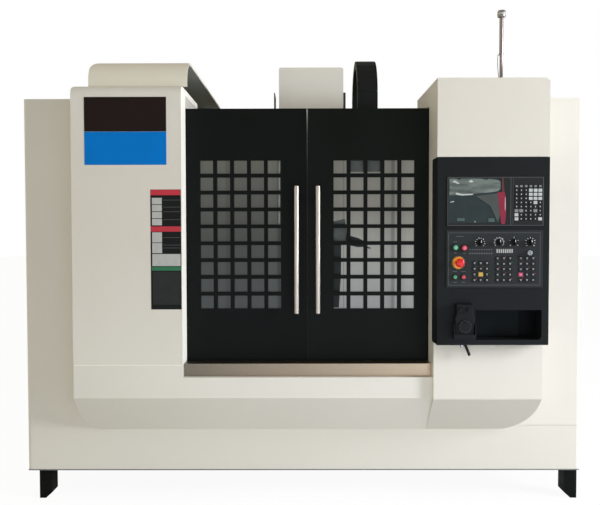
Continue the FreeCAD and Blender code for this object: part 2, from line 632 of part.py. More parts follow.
def signal_lamp():
    """Slim lamp mast: flange, stepped rod and a small lamp head."""
    x, y, z, tip = 887.0, back(60), RIGHT_TOP, 2313.0
    stages = ((13.0, z, z + 8), (7.0, z + 8, z + 112), (9.0, z + 112, tip - 32), (18.0, tip - 32, tip))
    return join([facet_rod(16, radius, (x, y, low), (x, y, high)) for radius, low, high in stages])


# ---------------------------------------------------------------- machine inside
def carriage(x, y, z0, along, half_rail, low, high, reach):
    """Slide block that straddles a rail: width, rail gap and height are given by the caller."""
    outer = block(x - reach, x + reach, y - along / 2, y + along / 2, low, high)
    return outer.cut(block(x - half_rail, x + half_rail, y - along, y + along, low - 1, z0))


def base_casting():
    """Closed ribbed box casting with a trough for the Y screw along its middle."""
    outer = block(at_x(-BASE_HALF), at_x(BASE_HALF), back(BASE_FRONT), back(BASE_BACK),
                  BASE_BOTTOM, BASE_TOP)
    wall = 35.0
    cells = []
    cell_ends = [BASE_FRONT + wall, 780.0, 1240.0, BASE_BACK - wall]
    for front, rear in zip(cell_ends[:-1], cell_ends[1:]):
        for x0, x1 in ((-BASE_HALF + wall, -100.0), (100.0, BASE_HALF - wall)):
            cells.append(block(at_x(x0), at_x(x1), back(front + wall / 2), back(rear - wall / 2),
                               BASE_BOTTOM + 25, BASE_TOP - wall))
    trough = block(at_x(-70), at_x(70), back(BASE_FRONT + 30), back(BASE_BACK - 100), 430, BASE_TOP + 1)
    bearing = block(at_x(-60), at_x(60), back(BASE_FRONT + 30), back(BASE_FRONT + 60), 430, 545)
    rear_bearing = block(at_x(-60), at_x(60), back(1250), back(1280), 430, 545)
    shape = outer.cut(group(cells)).cut(trough).fuse([bearing, rear_bearing])
    screw_way = rod(NUT_BORE, (AXIS_X, back(BASE_FRONT + 10), Y_SCREW_Z),
                    (AXIS_X, back(1290), Y_SCREW_Z))
    return shape.cut(screw_way).removeSplitter()


def column_casting():
    """Hollow column with a flared foot, bearing brackets of the Z screw and the cable bracket."""
    profile = [(-COLUMN_FOOT, BASE_TOP), (COLUMN_FOOT, BASE_TOP), (COLUMN_FOOT, 640),
               (COLUMN_HALF, 820), (COLUMN_HALF, COLUMN_TOP), (-COLUMN_HALF, COLUMN_TOP),
               (-COLUMN_HALF, 820), (-COLUMN_FOOT, 640)]
    depth = COLUMN_BACK - COLUMN_FRONT
    outer = prism([(at_x(x), back(COLUMN_FRONT), z) for x, z in profile], (0, depth, 0))
    wall = 35.0
    cells = [block(at_x(-COLUMN_HALF + wall), at_x(COLUMN_HALF - wall), back(COLUMN_FRONT + wall),
                   back(COLUMN_BACK - wall), low, high)
             for low, high in ((BASE_TOP + wall, 960), (1000, 1400), (1440, COLUMN_TOP - wall))]
    shape = outer.cut(group(cells))
    brackets = [block(at_x(-60), at_x(60), back(HEAD_PLATE_BACK + 4), back(COLUMN_FRONT), low, high)
                for low, high in ((880, 915), (COLUMN_TOP - 35, COLUMN_TOP))]
    screw_way = rod(NUT_BORE, (AXIS_X, back(Z_SCREW_BACK), 870),
                    (AXIS_X, back(Z_SCREW_BACK), COLUMN_TOP + 1))
    brackets = [bracket.cut(screw_way) for bracket in brackets]
    chain_arm = block(at_x(COLUMN_HALF), CHAIN_X1, back(CHAIN_REAR + CHAIN_THICK / 2), back(1400),
                      CHAIN_FOOT, CHAIN_FOOT + 70)
    return join([shape, chain_arm] + brackets)


def levelling_feet():
    """Six pads with their screws under the base."""
    feet = []
    for x in (-BASE_HALF + 50, BASE_HALF - 50):
        for d in (780.0, 1240.0, BASE_BACK - 50):
            place = (at_x(x), back(d))
            pad_top = FLOOR + PAD_HEIGHT
            feet.append(join([facet_rod(8, 54.0, place + (FLOOR,), place + (pad_top,)),
                              facet_rod(6, 19.0, place + (pad_top,), place + (BASE_BOTTOM,)),
                              facet_rod(6, 34.0, place + (BASE_BOTTOM - 28,), place + (BASE_BOTTOM,))]))
    return group(feet)


def corner_legs():
    """Folded legs under the cover's corners, cut back at their inner lower corner."""
    width, top, wall = 61.0, 300.0, 5.0
    cut_back, cut_height = 31.0, 28.0
    legs = []
    for side, outside in ((-1, 1292.0), (1, HALF_WIDTH - SHEET)):
        for y0, y1 in ((back(BODY_FACE + SHEET + 20), back(BODY_FACE + SHEET + 100)),
                       (back(BODY_BACK) - 79.5, back(BODY_BACK) + 0.5)):
            def outline(inset, base):
                x_out, x_in = outside - inset, outside - width + inset
                foot = FLOOR + base
                points = [(x_out, foot), (outside - width + cut_back, foot),
                          (x_in, FLOOR + cut_height + base * 0.6), (x_in, top), (x_out, top)]
                return [(side * x, y0 + inset, z) for x, z in points]

            shell = prism(outline(0, 0), (0, y1 - y0, 0))
            legs.append(shell.cut(prism([(x, y, z + 1) if near(z, top) else (x, y, z)
                                         for x, y, z in outline(wall, 6.0)],
                                        (0, y1 - y0 - 2 * wall, 0))))
    return group(legs)


def guide_rails():
    """Y rails on the base and Z rails on the column."""
    rails = [block(at_x(x) - 17, at_x(x) + 17, back(320), back(1235), BASE_TOP, BASE_TOP + 28)
             for x in (-Y_RAIL, Y_RAIL)]
    rails += [block(at_x(x) - 17, at_x(x) + 17, back(COLUMN_FRONT - 32), back(COLUMN_FRONT), 930, 1870)
              for x in (-Z_RAIL, Z_RAIL)]
    return group(rails)


def servo_motor(half, start, end):
    """Square-flanged motor with bevelled edges and an encoder cap, along one axis."""
    axis = (V(*end) - V(*start)).normalize()
    length = (V(*end) - V(*start)).Length
    body = Part.makeBox(2 * half, 2 * half, length * 0.78, V(-half, -half, 0))
    body = body.makeChamfer(14.0, [e for e in body.Edges if abs(e.tangentAt(e.FirstParameter).z) > 0.9])
    flange = Part.makeBox(2 * half + 6, 2 * half + 6, 14, V(-half - 3, -half - 3, 0))
    cap = facet_rod(16, half - 10, (0, 0, length * 0.78), (0, 0, length))
    shape = join([body, flange, cap])
    shape.Placement = FreeCAD.Placement(V(*start), FreeCAD.Rotation(V(0, 0, 1), axis))
    return shape


def axis_motors():
    """Motors of the Y and Z screws."""
    return group([servo_motor(55.0, (AXIS_X, back(1280), Y_SCREW_Z), (AXIS_X, back(1480), Y_SCREW_Z)),
                  servo_motor(62.0, (AXIS_X, back(Z_SCREW_BACK), COLUMN_TOP),
                              (AXIS_X, back(Z_SCREW_BACK), COLUMN_TOP + 200))])


def saddle():
    """Cross slide with its X rails, the Y nut and the X motor on its end."""
    plate = block(at_x(-SADDLE_HALF), at_x(SADDLE_HALF), back(TABLE_FRONT), back(TABLE_BACK),
                  SADDLE_BOTTOM, SADDLE_TOP)
    plate = bevel_edges(plate, 25.0, lambda p: near(p.z, SADDLE_BOTTOM)
                        and near(abs(p.x - AXIS_X), SADDLE_HALF))
    trough = block(at_x(-SADDLE_HALF + 30), at_x(SADDLE_HALF - 30), back(AXIS_BACK - 45),
                   back(AXIS_BACK + 45), 655, SADDLE_TOP + 1)
    screw_way = rod(NUT_BORE, (at_x(-SADDLE_HALF - 1), back(AXIS_BACK), X_SCREW_Z),
                    (at_x(SADDLE_HALF + 1), back(AXIS_BACK), X_SCREW_Z))
    blocks = [carriage(at_x(x), back(AXIS_BACK + d), BASE_TOP + 30, 90, 19, BASE_TOP + 4,
                       SADDLE_BOTTOM, 45) for x in (-Y_RAIL, Y_RAIL) for d in (-140, 140)]
    nut = block(at_x(-45), at_x(45), back(AXIS_BACK - 30), back(AXIS_BACK + 30), 455, SADDLE_BOTTOM)
    nut = nut.cut(rod(NUT_BORE, (AXIS_X, back(AXIS_BACK - 31), Y_SCREW_Z),
                      (AXIS_X, back(AXIS_BACK + 31), Y_SCREW_Z)))
    casting = join([plate.cut(trough).cut(screw_way), nut] + blocks)
    rails = [block(at_x(-SADDLE_HALF + 10), at_x(SADDLE_HALF - 10), back(AXIS_BACK + d) - 15,
                   back(AXIS_BACK + d) + 15, SADDLE_TOP, SADDLE_TOP + 26) for d in (-X_RAIL, X_RAIL)]
    motor = servo_motor(62.0, (at_x(SADDLE_HALF), back(AXIS_BACK), X_SCREW_Z),
                        (at_x(SADDLE_HALF + 200), back(AXIS_BACK), X_SCREW_Z))
    return group([casting, motor] + rails)


def y_bellows():
    """Pleated covers over the Y rails, in front of the saddle and behind it."""
    def tunnel(half, top, thick, d0, d1):
        outer = block(at_x(-half), at_x(half), back(d0), back(d1), BASE_TOP, top)
        return outer.cut(block(at_x(-half + thick), at_x(half - thick), back(d0) - 1, back(d1) + 1,
                               BASE_TOP - 1, top - thick))

    pleats, pitch = [], 36.0
    for d0, d1 in ((BASE_FRONT, TABLE_FRONT), (TABLE_BACK, COLUMN_FRONT)):
        count = int((d1 - d0) // pitch)
        ribs = [tunnel(275.0, 628.0, 12.0, d0 + (n + 0.25) * pitch, d0 + (n + 0.75) * pitch)
                for n in range(count)]
        pleats.append(join([tunnel(268.0, 621.0, 5.0, d0, d1)] + ribs))
    return group(pleats)


def work_table():
    """Table with three T-slots and a coolant gutter, its slide blocks and its nut."""
    plate = block(at_x(-TABLE_HALF), at_x(TABLE_HALF), back(TABLE_FRONT), back(TABLE_BACK),
                  TABLE_BOTTOM, TABLE_TOP)
    gutter = block(at_x(-TABLE_HALF) - 1, at_x(TABLE_HALF) + 1, back(TABLE_FRONT) - 1,
                   back(TABLE_BACK) + 1, TABLE_TOP - 12, TABLE_TOP + 1)
    island = block(at_x(-TABLE_HALF + 22), at_x(TABLE_HALF - 22), back(TABLE_FRONT + 22),
                   back(TABLE_BACK - 22), TABLE_TOP - 13, TABLE_TOP + 2)
    rim_cut = gutter.cut(island)
    slots = []
    for offset in (-SLOT_PITCH, 0, SLOT_PITCH):
        y = back(AXIS_BACK + offset)
        slots.append(block(at_x(-TABLE_HALF) - 1, at_x(TABLE_HALF) + 1, y - SLOT_HALF, y + SLOT_HALF,
                           TABLE_TOP - SLOT_NECK - 1, TABLE_TOP + 1))
        slots.append(block(at_x(-TABLE_HALF) - 1, at_x(TABLE_HALF) + 1, y - SLOT_WIDE, y + SLOT_WIDE,
                           TABLE_TOP - SLOT_DEPTH, TABLE_TOP - SLOT_NECK))
    plate = plate.cut(rim_cut).cut(group(slots))
    blocks = []
    for x in (-280, 280):
        for d in (-X_RAIL, X_RAIL):
            y = back(AXIS_BACK + d)
            outer = block(at_x(x - 45), at_x(x + 45), y - 38, y + 38, SADDLE_TOP + 3, TABLE_BOTTOM)
            blocks.append(outer.cut(block(at_x(x - 50), at_x(x + 50), y - 17, y + 17,
                                          SADDLE_TOP, SADDLE_TOP + 28)))
    nut = block(at_x(-40), at_x(40), back(AXIS_BACK - 36), back(AXIS_BACK + 36), 672, TABLE_BOTTOM)
    nut = nut.cut(rod(NUT_BORE, (at_x(-41), back(AXIS_BACK), X_SCREW_Z),
                      (at_x(41), back(AXIS_BACK), X_SCREW_Z)))
    return join([plate, nut] + blocks)


# ---------------------------------------------------------------- spindle head
def spindle_head():
    """Cored head casting: slide plate, arm, spindle housing, chain bracket and coolant nozzles."""
    side = 140.0
    arm = side_prism([(640, HEAD_BOTTOM), (640, HEAD_TOP), (1015, HEAD_TOP), (1200, 1740),
                      (1200, 1400), (930, HEAD_BOTTOM)], at_x(-side), at_x(side))
    arm = bevel_edges(arm, 24.0, lambda p: near(p.y, back(640)) and near(abs(p.x - AXIS_X), side))
    plate = block(at_x(-200), at_x(200), back(1200), back(HEAD_PLATE_BACK), 1360, 1740)
    axis = (AXIS_X, back(AXIS_BACK))
    nose = facet_rod(24, 98.0, axis + (NOSE + 14,), axis + (HEAD_BOTTOM,))
    nut = block(at_x(-45), at_x(45), back(HEAD_PLATE_BACK), back(1322), 1560, 1640)
    nut = nut.cut(rod(NUT_BORE, (AXIS_X, back(Z_SCREW_BACK), 1559), (AXIS_X, back(Z_SCREW_BACK), 1641)))
    blocks = []
    for x in (-Z_RAIL, Z_RAIL):
        for low, high in ((1380, 1470), (1640, 1730)):
            outer = block(at_x(x - 34), at_x(x + 34), back(HEAD_PLATE_BACK), back(1326), low, high)
            blocks.append(outer.cut(block(at_x(x - 19), at_x(x + 19), back(1296), back(1327),
                                          low - 1, high + 1)))
    chain_arm = block(at_x(side - 5), CHAIN_X1, back(CHAIN_FRONT - CHAIN_THICK / 2),
                      back(CHAIN_FRONT + CHAIN_THICK / 2), HEAD_TOP - 45, HEAD_TOP)
    manifold = block(at_x(side), at_x(side + 46), back(690), back(800), HEAD_BOTTOM - 10, HEAD_BOTTOM + 60)
    nozzles = []
    for d in (715.0, 775.0):
        elbow = (at_x(side + 20), back(d), HEAD_BOTTOM - 58)
        tip = (at_x(side - 34), back(d + 8), HEAD_BOTTOM - 96)
        nozzles.append(facet_rod(8, 11.0, (at_x(side + 20), back(d), HEAD_BOTTOM - 10), elbow))
        nozzles.append(facet_rod(8, 9.0, (at_x(side + 27), back(d), HEAD_BOTTOM - 53), tip))
    shape = join([arm, plate, nose, nut, chain_arm, manifold] + blocks + nozzles)
    shape = shape.cut(block(at_x(-side + 30), at_x(side - 30), back(880), back(1170), 1430, HEAD_TOP - 35))
    return shape.cut(rod(SPINDLE_RADIUS + 0.05, axis + (NOSE,), axis + (HEAD_TOP + 1,)))


def spindle():
    """Spindle with its taper seat and the two drive keys at the nose."""
    axis = (AXIS_X, back(AXIS_BACK))
    body = rod(SPINDLE_RADIUS, axis + (NOSE + 12,), axis + (HEAD_TOP - 20,))
    nose = facet_rod(24, 44.5, axis + (NOSE,), axis + (NOSE + 12,))
    taper = facet_taper(24, 22.2, 12.6, axis, NOSE, NOSE + 66)
    keys = [block(AXIS_X + x - 7, AXIS_X + x + 7, back(AXIS_BACK) - 8, back(AXIS_BACK) + 8,
                  NOSE - 5, NOSE + 2) for x in (-33, 33)]
    return join([body.fuse(nose).cut(taper)] + keys)


def spindle_motor():
    """Spindle motor on top of the head, with its fan cowl."""
    half = 118.0
    x, y = AXIS_X, back(AXIS_BACK)
    flange = block(x - half, x + half, y - half, y + half, HEAD_TOP, HEAD_TOP + 22)
    body = block(x - half + 8, x + half - 8, y - half + 8, y + half - 8, HEAD_TOP + 22, HEAD_TOP + 330)
    body = bevel_edges(body, 30.0, lambda p: near(abs(p.x - x), half - 8) and near(abs(p.y - y), half - 8))
    cowl = facet_rod(24, 96.0, (x, y, HEAD_TOP + 330), (x, y, HEAD_TOP + 420))
    return join([flange, body, cowl])


def head_cover():
    """Sheet cover over the spindle motor."""
    left, right, front, rear, top, sheet = at_x(-160), at_x(176), 590.0, 1010.0, 2185.0, 3.0

    def body(inset):
        shape = block(left + inset, right - inset, back(front + inset),
                      back(rear - inset), HEAD_TOP + inset, top - inset)
        return round_edges(shape, 14.0 - inset, lambda p: near(p.z, top - inset))

    hole = block(at_x(-122), at_x(122), back(AXIS_BACK - 122), back(AXIS_BACK + 122),
                 HEAD_TOP - 1, HEAD_TOP + 4)
    return body(0).cut(body(sheet)).cut(hole)


def side_guards():
    """Upright plates beside the head's slide, which keep chips off the rails."""
    return group([block(x, x + 5, back(1080), back(HEAD_PLATE_BACK), 1400, 2146)
                  for x in (at_x(-205), at_x(200))])


def cable_chain():
    """Plastic cable chain: a strand at the head, a half loop and a strand at the column."""
    path = []
    pitch = 75.0
    strand = CHAIN_CENTRE - HEAD_TOP
    count = int(strand // pitch)
    for n in range(count):
        path.append((CHAIN_FRONT, HEAD_TOP + strand * (n + 0.5) / count, 0.0, strand / count))
    turns = 9
    for n in range(turns):
        angle = 180.0 * (n + 0.5) / turns
        d = CHAIN_FRONT + CHAIN_RADIUS * (1 - math.cos(math.radians(angle)))
        z = CHAIN_CENTRE + CHAIN_RADIUS * math.sin(math.radians(angle))
        path.append((d, z, angle, math.pi * CHAIN_RADIUS / turns))
    rear = CHAIN_CENTRE - CHAIN_FOOT
    count = int(rear // pitch)
    for n in range(count):
        path.append((CHAIN_REAR, CHAIN_CENTRE - rear * (n + 0.5) / count, 180.0, rear / count))
    links = []
    x_mid = (CHAIN_X0 + CHAIN_X1) / 2
    for d, z, angle, length in path:
        half_w, half_t = (CHAIN_X1 - CHAIN_X0) / 2, CHAIN_THICK / 2
        shell = Part.makeBox(2 * half_w, 2 * half_t, length * 0.74,
                             V(-half_w, -half_t, -length * 0.37))
        tongue = Part.makeBox(2 * half_w - 12, 2 * half_t - 10, length * 1.16,
                              V(-half_w + 6, -half_t + 5, -length * 0.58))
        link = shell.fuse(tongue)
        link.Placement = FreeCAD.Placement(V(x_mid, back(d), z),
                                           FreeCAD.Rotation(V(1, 0, 0), -angle))
        links.append(link)
    chain = links[0].multiFuse(links[1:])
    ends = [block(CHAIN_X0 - 1, CHAIN_X1 + 1, back(CHAIN_FRONT - 40), back(CHAIN_FRONT + 40),
                  HEAD_TOP - 60, HEAD_TOP),
            block(CHAIN_X0 - 1, CHAIN_X1 + 1, back(CHAIN_REAR + CHAIN_THICK / 2),
                  back(CHAIN_REAR + 60), CHAIN_FOOT - 60, CHAIN_CENTRE)]
    return chain.cut(group(ends))


def ball_screw(start, end):
    return rod(SCREW, start, end)


# ---------------------------------------------------------------- tool changer
def ring_points(count, radius):
    for n in range(count):
        angle = 2 * math.pi * n / count
        yield back(AXIS_BACK) + radius * math.sin(angle), DISC_HEIGHT + radius * math.cos(angle)


def changer_gearbox():
    """Cam gearbox of the tool changer on its arm from the column, with the magazine's hub."""
    y = back(AXIS_BACK)
    housing = block(-440, -250, back(640), back(880), 1370, 1800)
    housing = bevel_edges(housing, 18.0, lambda p: near(p.y, back(640)))
    arm = block(-262, -222, back(640), back(1600), 1400, 1700)
    spacer = block(-222, at_x(-COLUMN_HALF), back(1360), back(1600), 1400, 1700)
    hub = facet_rod(24, 80.0, (-560, y, DISC_HEIGHT), (-440, y, DISC_HEIGHT))
    drive = block(-420, -300, back(690), back(830), 1800, 1960)
    cam_space = block(-425, -265, back(660), back(865), 1620, 1785)
    shape = join([housing.cut(cam_space), arm, spacer, hub, drive])
    shape = shape.cut(rod(40.05, (-561, y, DISC_HEIGHT), (-480, y, DISC_HEIGHT)))
    return shape.cut(rod(SHAFT_RADIUS + 0.05, (ARM_X, y, 1369), (ARM_X, y, 1600)))


def magazine_disc():
    """Spoked disc that carries the tool pots, with its shaft."""
    y = back(AXIS_BACK)
    disc = facet_rod(2 * POT_COUNT, POT_CIRCLE + 18, (DISC_X, y, DISC_HEIGHT),
                     (DISC_X + 24, y, DISC_HEIGHT))
    holes = []
    for n in range(6):
        corners = []
        for radius, degrees in ((120, -22), (255, -24), (268, 0), (255, 24), (120, 22)):
            angle = math.radians(60 * n + degrees)
            corners.append((DISC_X - 1, y + radius * math.sin(angle),
                            DISC_HEIGHT + radius * math.cos(angle)))
        holes.append(prism(corners, (26, 0, 0)))
    boss = facet_rod(24, 95.0, (DISC_X + 24, y, DISC_HEIGHT), (-562, y, DISC_HEIGHT))
    shaft = rod(40.0, (-562, y, DISC_HEIGHT), (-482, y, DISC_HEIGHT))
    return join([disc.cut(group(holes)), boss, shaft])


def tool_pots():
    """Tool pots round the disc, each with a seat."""
    pots = []
    x0 = DISC_X - POT_LENGTH
    for y, z in ring_points(POT_COUNT, POT_CIRCLE):
        body = facet_rod(8, POT_RADIUS, (x0, y, z), (DISC_X, y, z))
        pots.append(body.cut(facet_rod(8, 24.0, (x0 - 1, y, z), (x0 + 66, y, z))))
    return group(pots)


def arm_shaft():
    """Shaft that lowers the change arm."""
    y = back(AXIS_BACK)
    return rod(SHAFT_RADIUS, (ARM_X, y, ARM_Z + ARM_THICK), (ARM_X, y, 1590))


def change_arm():
    """Double-ended arm with an open claw at each end."""
    y = back(AXIS_BACK)
    z0, z1 = ARM_Z, ARM_Z + ARM_THICK
    outline = [(0, -62), (95, -44), (ARM_REACH - 60, -30), (ARM_REACH - 34, -48),
               (ARM_REACH + 22, -46), (ARM_REACH + 22, 46), (ARM_REACH - 34, 48),
               (ARM_REACH - 60, 30), (95, 44), (0, 62)]
    halves = []
    claw_radius = 31.8
    for way in (1, -1):
        half = prism([(ARM_X + way * side, y + way * along, z0) for along, side in outline],
                     (0, 0, ARM_THICK))
        middle = y + way * ARM_REACH
        claw = facet_rod(24, claw_radius, (ARM_X, middle, z0 - 1), (ARM_X, middle, z1 + 1))
        open_x = ARM_X - way * 60
        mouth = block(min(open_x, ARM_X), max(open_x, ARM_X), middle - claw_radius,
                      middle + claw_radius, z0 - 1, z1 + 1)
        halves.append(half.cut(claw).cut(mouth))
    hub = facet_rod(24, 62.0, (ARM_X, y, z0), (ARM_X, y, z1))
    return join(halves + [hub])


# ---------------------------------------------------------------- floor level and rear
def chip_pan():
    """Sloping floor plates of the work area, from the side covers down to the base."""
    y0, y1 = back(BODY_FACE + SHEET), back(BODY_BACK)
    plates = []
    for edge, wall in ((at_x(-BASE_HALF), -HALF_WIDTH + SHEET), (at_x(BASE_HALF), HALF_WIDTH - SHEET)):
        plate = prism([(edge, y0, 480), (wall, y0, 640), (wall, y0, 644), (edge, y0, 484)],
                      (0, y1 - y0, 0))
        relief = block(wall - CORNER_BEND, wall + CORNER_BEND, y0 - 1, y0 + CORNER_BEND, 600, 650)
        plates.append(plate.cut(relief))
    plates.append(block(at_x(-BASE_HALF), at_x(BASE_HALF), y0, back(BASE_FRONT), BASE_TOP - 4, BASE_TOP))
    return group(plates)


def coolant_tank():
    """Coolant tank behind the base, on pads, with its pump."""
    x0, x1, y0, y1 = -720.0, 700.0, back(1790), back(2120)
    bottom, top, sheet = FLOOR + 20, 380, 5
    tank = block(x0, x1, y0, y1, bottom, top)
    tank = tank.cut(block(x0 + sheet, x1 - sheet, y0 + sheet, y1 - sheet, bottom + sheet, top - sheet))
    pads = [block(x, x + 60, y, y + 60, FLOOR, bottom)
            for x in (x0 + 30, x1 - 90) for y in (y0 + 20, y1 - 80)]
    pump_x, pump_y = -640.0, back(1950)
    pump = [facet_rod(20, radius, (pump_x, pump_y, low), (pump_x, pump_y, high))
            for radius, low, high in ((62.0, top, 396), (52.0, 396, 600), (44.0, 600, 612))]
    return join([tank] + pads + pump)


def electrical_cabinet():
    """Cabinet open to the rear, with its fixing rails, mounting plate and hinge eyes."""
    y0, y1 = back(CABINET_FRONT), back(CABINET_BACK)
    case = block(CABINET_X0, CABINET_X1, y0, y1, CABINET_Z0, CABINET_Z1)
    case = case.cut(block(CABINET_X0 + 4, CABINET_X1 - 4, y0 + 4, y1 + 1,
                          CABINET_Z0 + 4, CABINET_Z1 - 4))
    rails = [block(at_x(-210), at_x(210), back(COLUMN_BACK), y0, z, z + 60) for z in (760, 1500)]
    parts = [case] + rails
    for z in HINGE_HEIGHTS:
        parts.append(block(HINGE_X - 3, CABINET_X0, y1 - 30, y1 - 1, z - 20, z + 20))
        parts.append(block(HINGE_X - 3, HINGE_X + 3, y1 - 10, back(HINGE_BACK), z + 1, z + 20))
        eye = (HINGE_X, back(HINGE_BACK))
        parts.append(facet_rod(12, HINGE_RADIUS, eye + (z + 1,), eye + (z + 20,)))
    return join(parts)


def cabinet_door():
    """Rear door of the cabinet: a folded tray with louvres and hinge eyes."""
    y0, y1 = back(CABINET_BACK + 2), back(HINGE_BACK)
    x0, x1 = CABINET_X0 + 1, CABINET_X1
    door_tray = block(x0, x1, y0, y1, CABINET_Z0, CABINET_Z1)
    door_tray = door_tray.cut(block(x0 + 3, x1 - 3, y0 - 1, y1 - 3, CABINET_Z0 + 3, CABINET_Z1 - 3))
    slots = [block(x, x + 150, y1 - 5, y1 + 1, z, z + 8)
             for x in (-380.0, 300.0) for z in [CABINET_Z0 + 90 + 24 * n for n in range(5)]]
    door_tray = door_tray.cut(group(slots))
    eyes = []
    for z in HINGE_HEIGHTS:
        eyes.append(facet_rod(12, HINGE_RADIUS, (HINGE_X, y1, z - 20), (HINGE_X, y1, z - 1)))
        eyes.append(block(HINGE_X, x0 + 3, y1 - 4, y1, z - 20, z - 1))
    return join([door_tray] + eyes)


# ---------------------------------------------------------------- the nodes
NODES = {
    "base_casting": base_casting,
    "column_casting": column_casting,
    "levelling_feet": levelling_feet,
    "corner_legs": corner_legs,
    "guide_rails": guide_rails,
    "axis_motors": axis_motors,
    "left_side_cover": left_side_cover,
    "right_side_cover": right_side_cover,
    "front_skirt": front_skirt,
    "front_apron": front_apron,
    "left_pillar_cover": left_pillar_cover,
    "right_pillar_cover": right_pillar_cover,
    "door_tracks": door_tracks,
    "magazine_hood": magazine_hood,
    "rear_cover": rear_cover,
    "chip_pan": chip_pan,
    "changer_gearbox": changer_gearbox,
    "coolant_tank": coolant_tank,
    "electrical_cabinet": electrical_cabinet,
    "cabinet_door": cabinet_door,
    "control_box": control_box,
    "display_unit": display_unit,
    "display_screen": display_screen,
    "panel_keys": panel_keys,
    "operator_panel": operator_panel,
    "emergency_stop": emergency_stop,
    "key_switch": key_switch,
    "hand_unit": hand_unit,
    "pulse_dial": pulse_dial,
    "signal_lamp": signal_lamp,
    "saddle": saddle,
    "y_bellows": y_bellows,
    "work_table": work_table,
    "spindle_head": spindle_head,
    "spindle": spindle,
    "spindle_motor": spindle_motor,
    "head_cover": head_cover,
    "side_guards": side_guards,
    "cable_chain": cable_chain,
    "magazine_disc": magazine_disc,
    "tool_pots": tool_pots,
    "arm_shaft": arm_shaft,
    "change_arm": change_arm,
}

for name, make in NODES.items():
    save(name, make())

save("left_door", door(OPENING_LEFT - DOOR_LAP, OPENING_MID - SEAM_GAP, LEFT_PANE_X))
save("right_door", door(OPENING_MID + SEAM_GAP, OPENING_RIGHT + DOOR_LAP, RIGHT_PANE_X))
save("left_window", window(LEFT_PANE_X))
save("right_window", window(RIGHT_PANE_X))
save("left_handle", door_handle(OPENING_MID - HANDLE_OFFSET))
save("right_handle", door_handle(OPENING_MID + HANDLE_OFFSET))
save("start_button", push_button(START, BUTTON_BORE - PLAY, 12.0, BUTTON_TRAVEL))
save("hold_button", push_button(HOLD, BUTTON_BORE - PLAY, 12.0, BUTTON_TRAVEL))
save("power_on_button", push_button(POWER_ON, SMALL_BORE - PLAY, 10.0, SMALL_TRAVEL))
save("power_off_button", push_button(POWER_OFF, SMALL_BORE - PLAY, 10.0, SMALL_TRAVEL))
for name, place in KNOBS.items():
    save(name, rotary_knob(place))
save("x_ball_screw", ball_screw((at_x(-SADDLE_HALF + 1), back(AXIS_BACK), X_SCREW_Z),
                                (at_x(SADDLE_HALF - 1), back(AXIS_BACK), X_SCREW_Z)))
save("y_ball_screw", ball_screw((AXIS_X, back(BASE_FRONT + 32), Y_SCREW_Z),
                                (AXIS_X, back(1279), Y_SCREW_Z)))
save("z_ball_screw", ball_screw((AXIS_X, back(Z_SCREW_BACK), 878),
                                (AXIS_X, back(Z_SCREW_BACK), COLUMN_TOP - 2)))
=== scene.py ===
import math
import random

import bmesh
import bpy
from mathutils import Matrix, Vector


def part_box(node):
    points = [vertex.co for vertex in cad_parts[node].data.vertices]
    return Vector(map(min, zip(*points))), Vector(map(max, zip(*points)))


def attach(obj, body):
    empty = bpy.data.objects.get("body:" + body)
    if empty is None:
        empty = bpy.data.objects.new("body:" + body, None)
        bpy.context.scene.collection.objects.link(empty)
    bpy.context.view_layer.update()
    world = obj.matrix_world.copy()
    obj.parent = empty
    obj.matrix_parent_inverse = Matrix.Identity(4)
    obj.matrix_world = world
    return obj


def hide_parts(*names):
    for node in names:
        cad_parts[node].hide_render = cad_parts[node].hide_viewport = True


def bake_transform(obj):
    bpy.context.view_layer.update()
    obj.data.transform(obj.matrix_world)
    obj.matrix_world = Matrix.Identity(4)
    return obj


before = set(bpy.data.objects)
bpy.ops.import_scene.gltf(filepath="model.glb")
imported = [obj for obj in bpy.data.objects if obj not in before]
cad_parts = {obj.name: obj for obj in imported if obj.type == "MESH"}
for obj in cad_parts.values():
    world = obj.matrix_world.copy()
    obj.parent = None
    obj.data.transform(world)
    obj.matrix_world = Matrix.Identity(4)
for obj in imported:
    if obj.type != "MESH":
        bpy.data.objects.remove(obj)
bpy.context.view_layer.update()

# Lengths are in millimetres. A place is (x, d, z): d is the distance behind the control box's front.
# Heights are measured from a level FLOOR below the floor.
FRONT = -1050.0
FLOOR = 25.0
ROOT = "machine_frame"


def mm(x, d, z):
    return Vector((x / 1000, (FRONT + d) / 1000, (z - FLOOR) / 1000))


# ---- materials
CLOUD_SPAN = (0.3, 0.7)     # part of the noise over which a cloudy change runs
CLOUD_DETAIL, CLOUD_ROUGHNESS = 6.0, 0.6
GRAIN_DETAIL, GRAIN_HEIGHT = 3.0, 0.001


def tone(*levels):
    """Linear colour from display values between 0 and 255."""
    shares = [level / 255 for level in levels]
    return (*[c / 12.92 if c <= 0.04045 else ((c + 0.055) / 1.055) ** 2.4 for c in shares], 1.0)


def scaled(colour, factor):
    return (*[min(1.0, c * factor) for c in colour[:3]], 1.0)


def noise(mat, scale, detail, stretch):
    """Noise over the places of an object, stretched along its axes."""
    nodes, links = mat.node_tree.nodes, mat.node_tree.links
    where, spread = nodes.new("ShaderNodeTexCoord"), nodes.new("ShaderNodeMapping")
    cloud = nodes.new("ShaderNodeTexNoise")
    spread.inputs["Scale"].default_value = stretch
    cloud.inputs["Scale"].default_value = scale
    cloud.inputs["Detail"].default_value = detail
    links.new(where.outputs["Object"], spread.inputs["Vector"])
    links.new(spread.outputs["Vector"], cloud.inputs["Vector"])
    return cloud


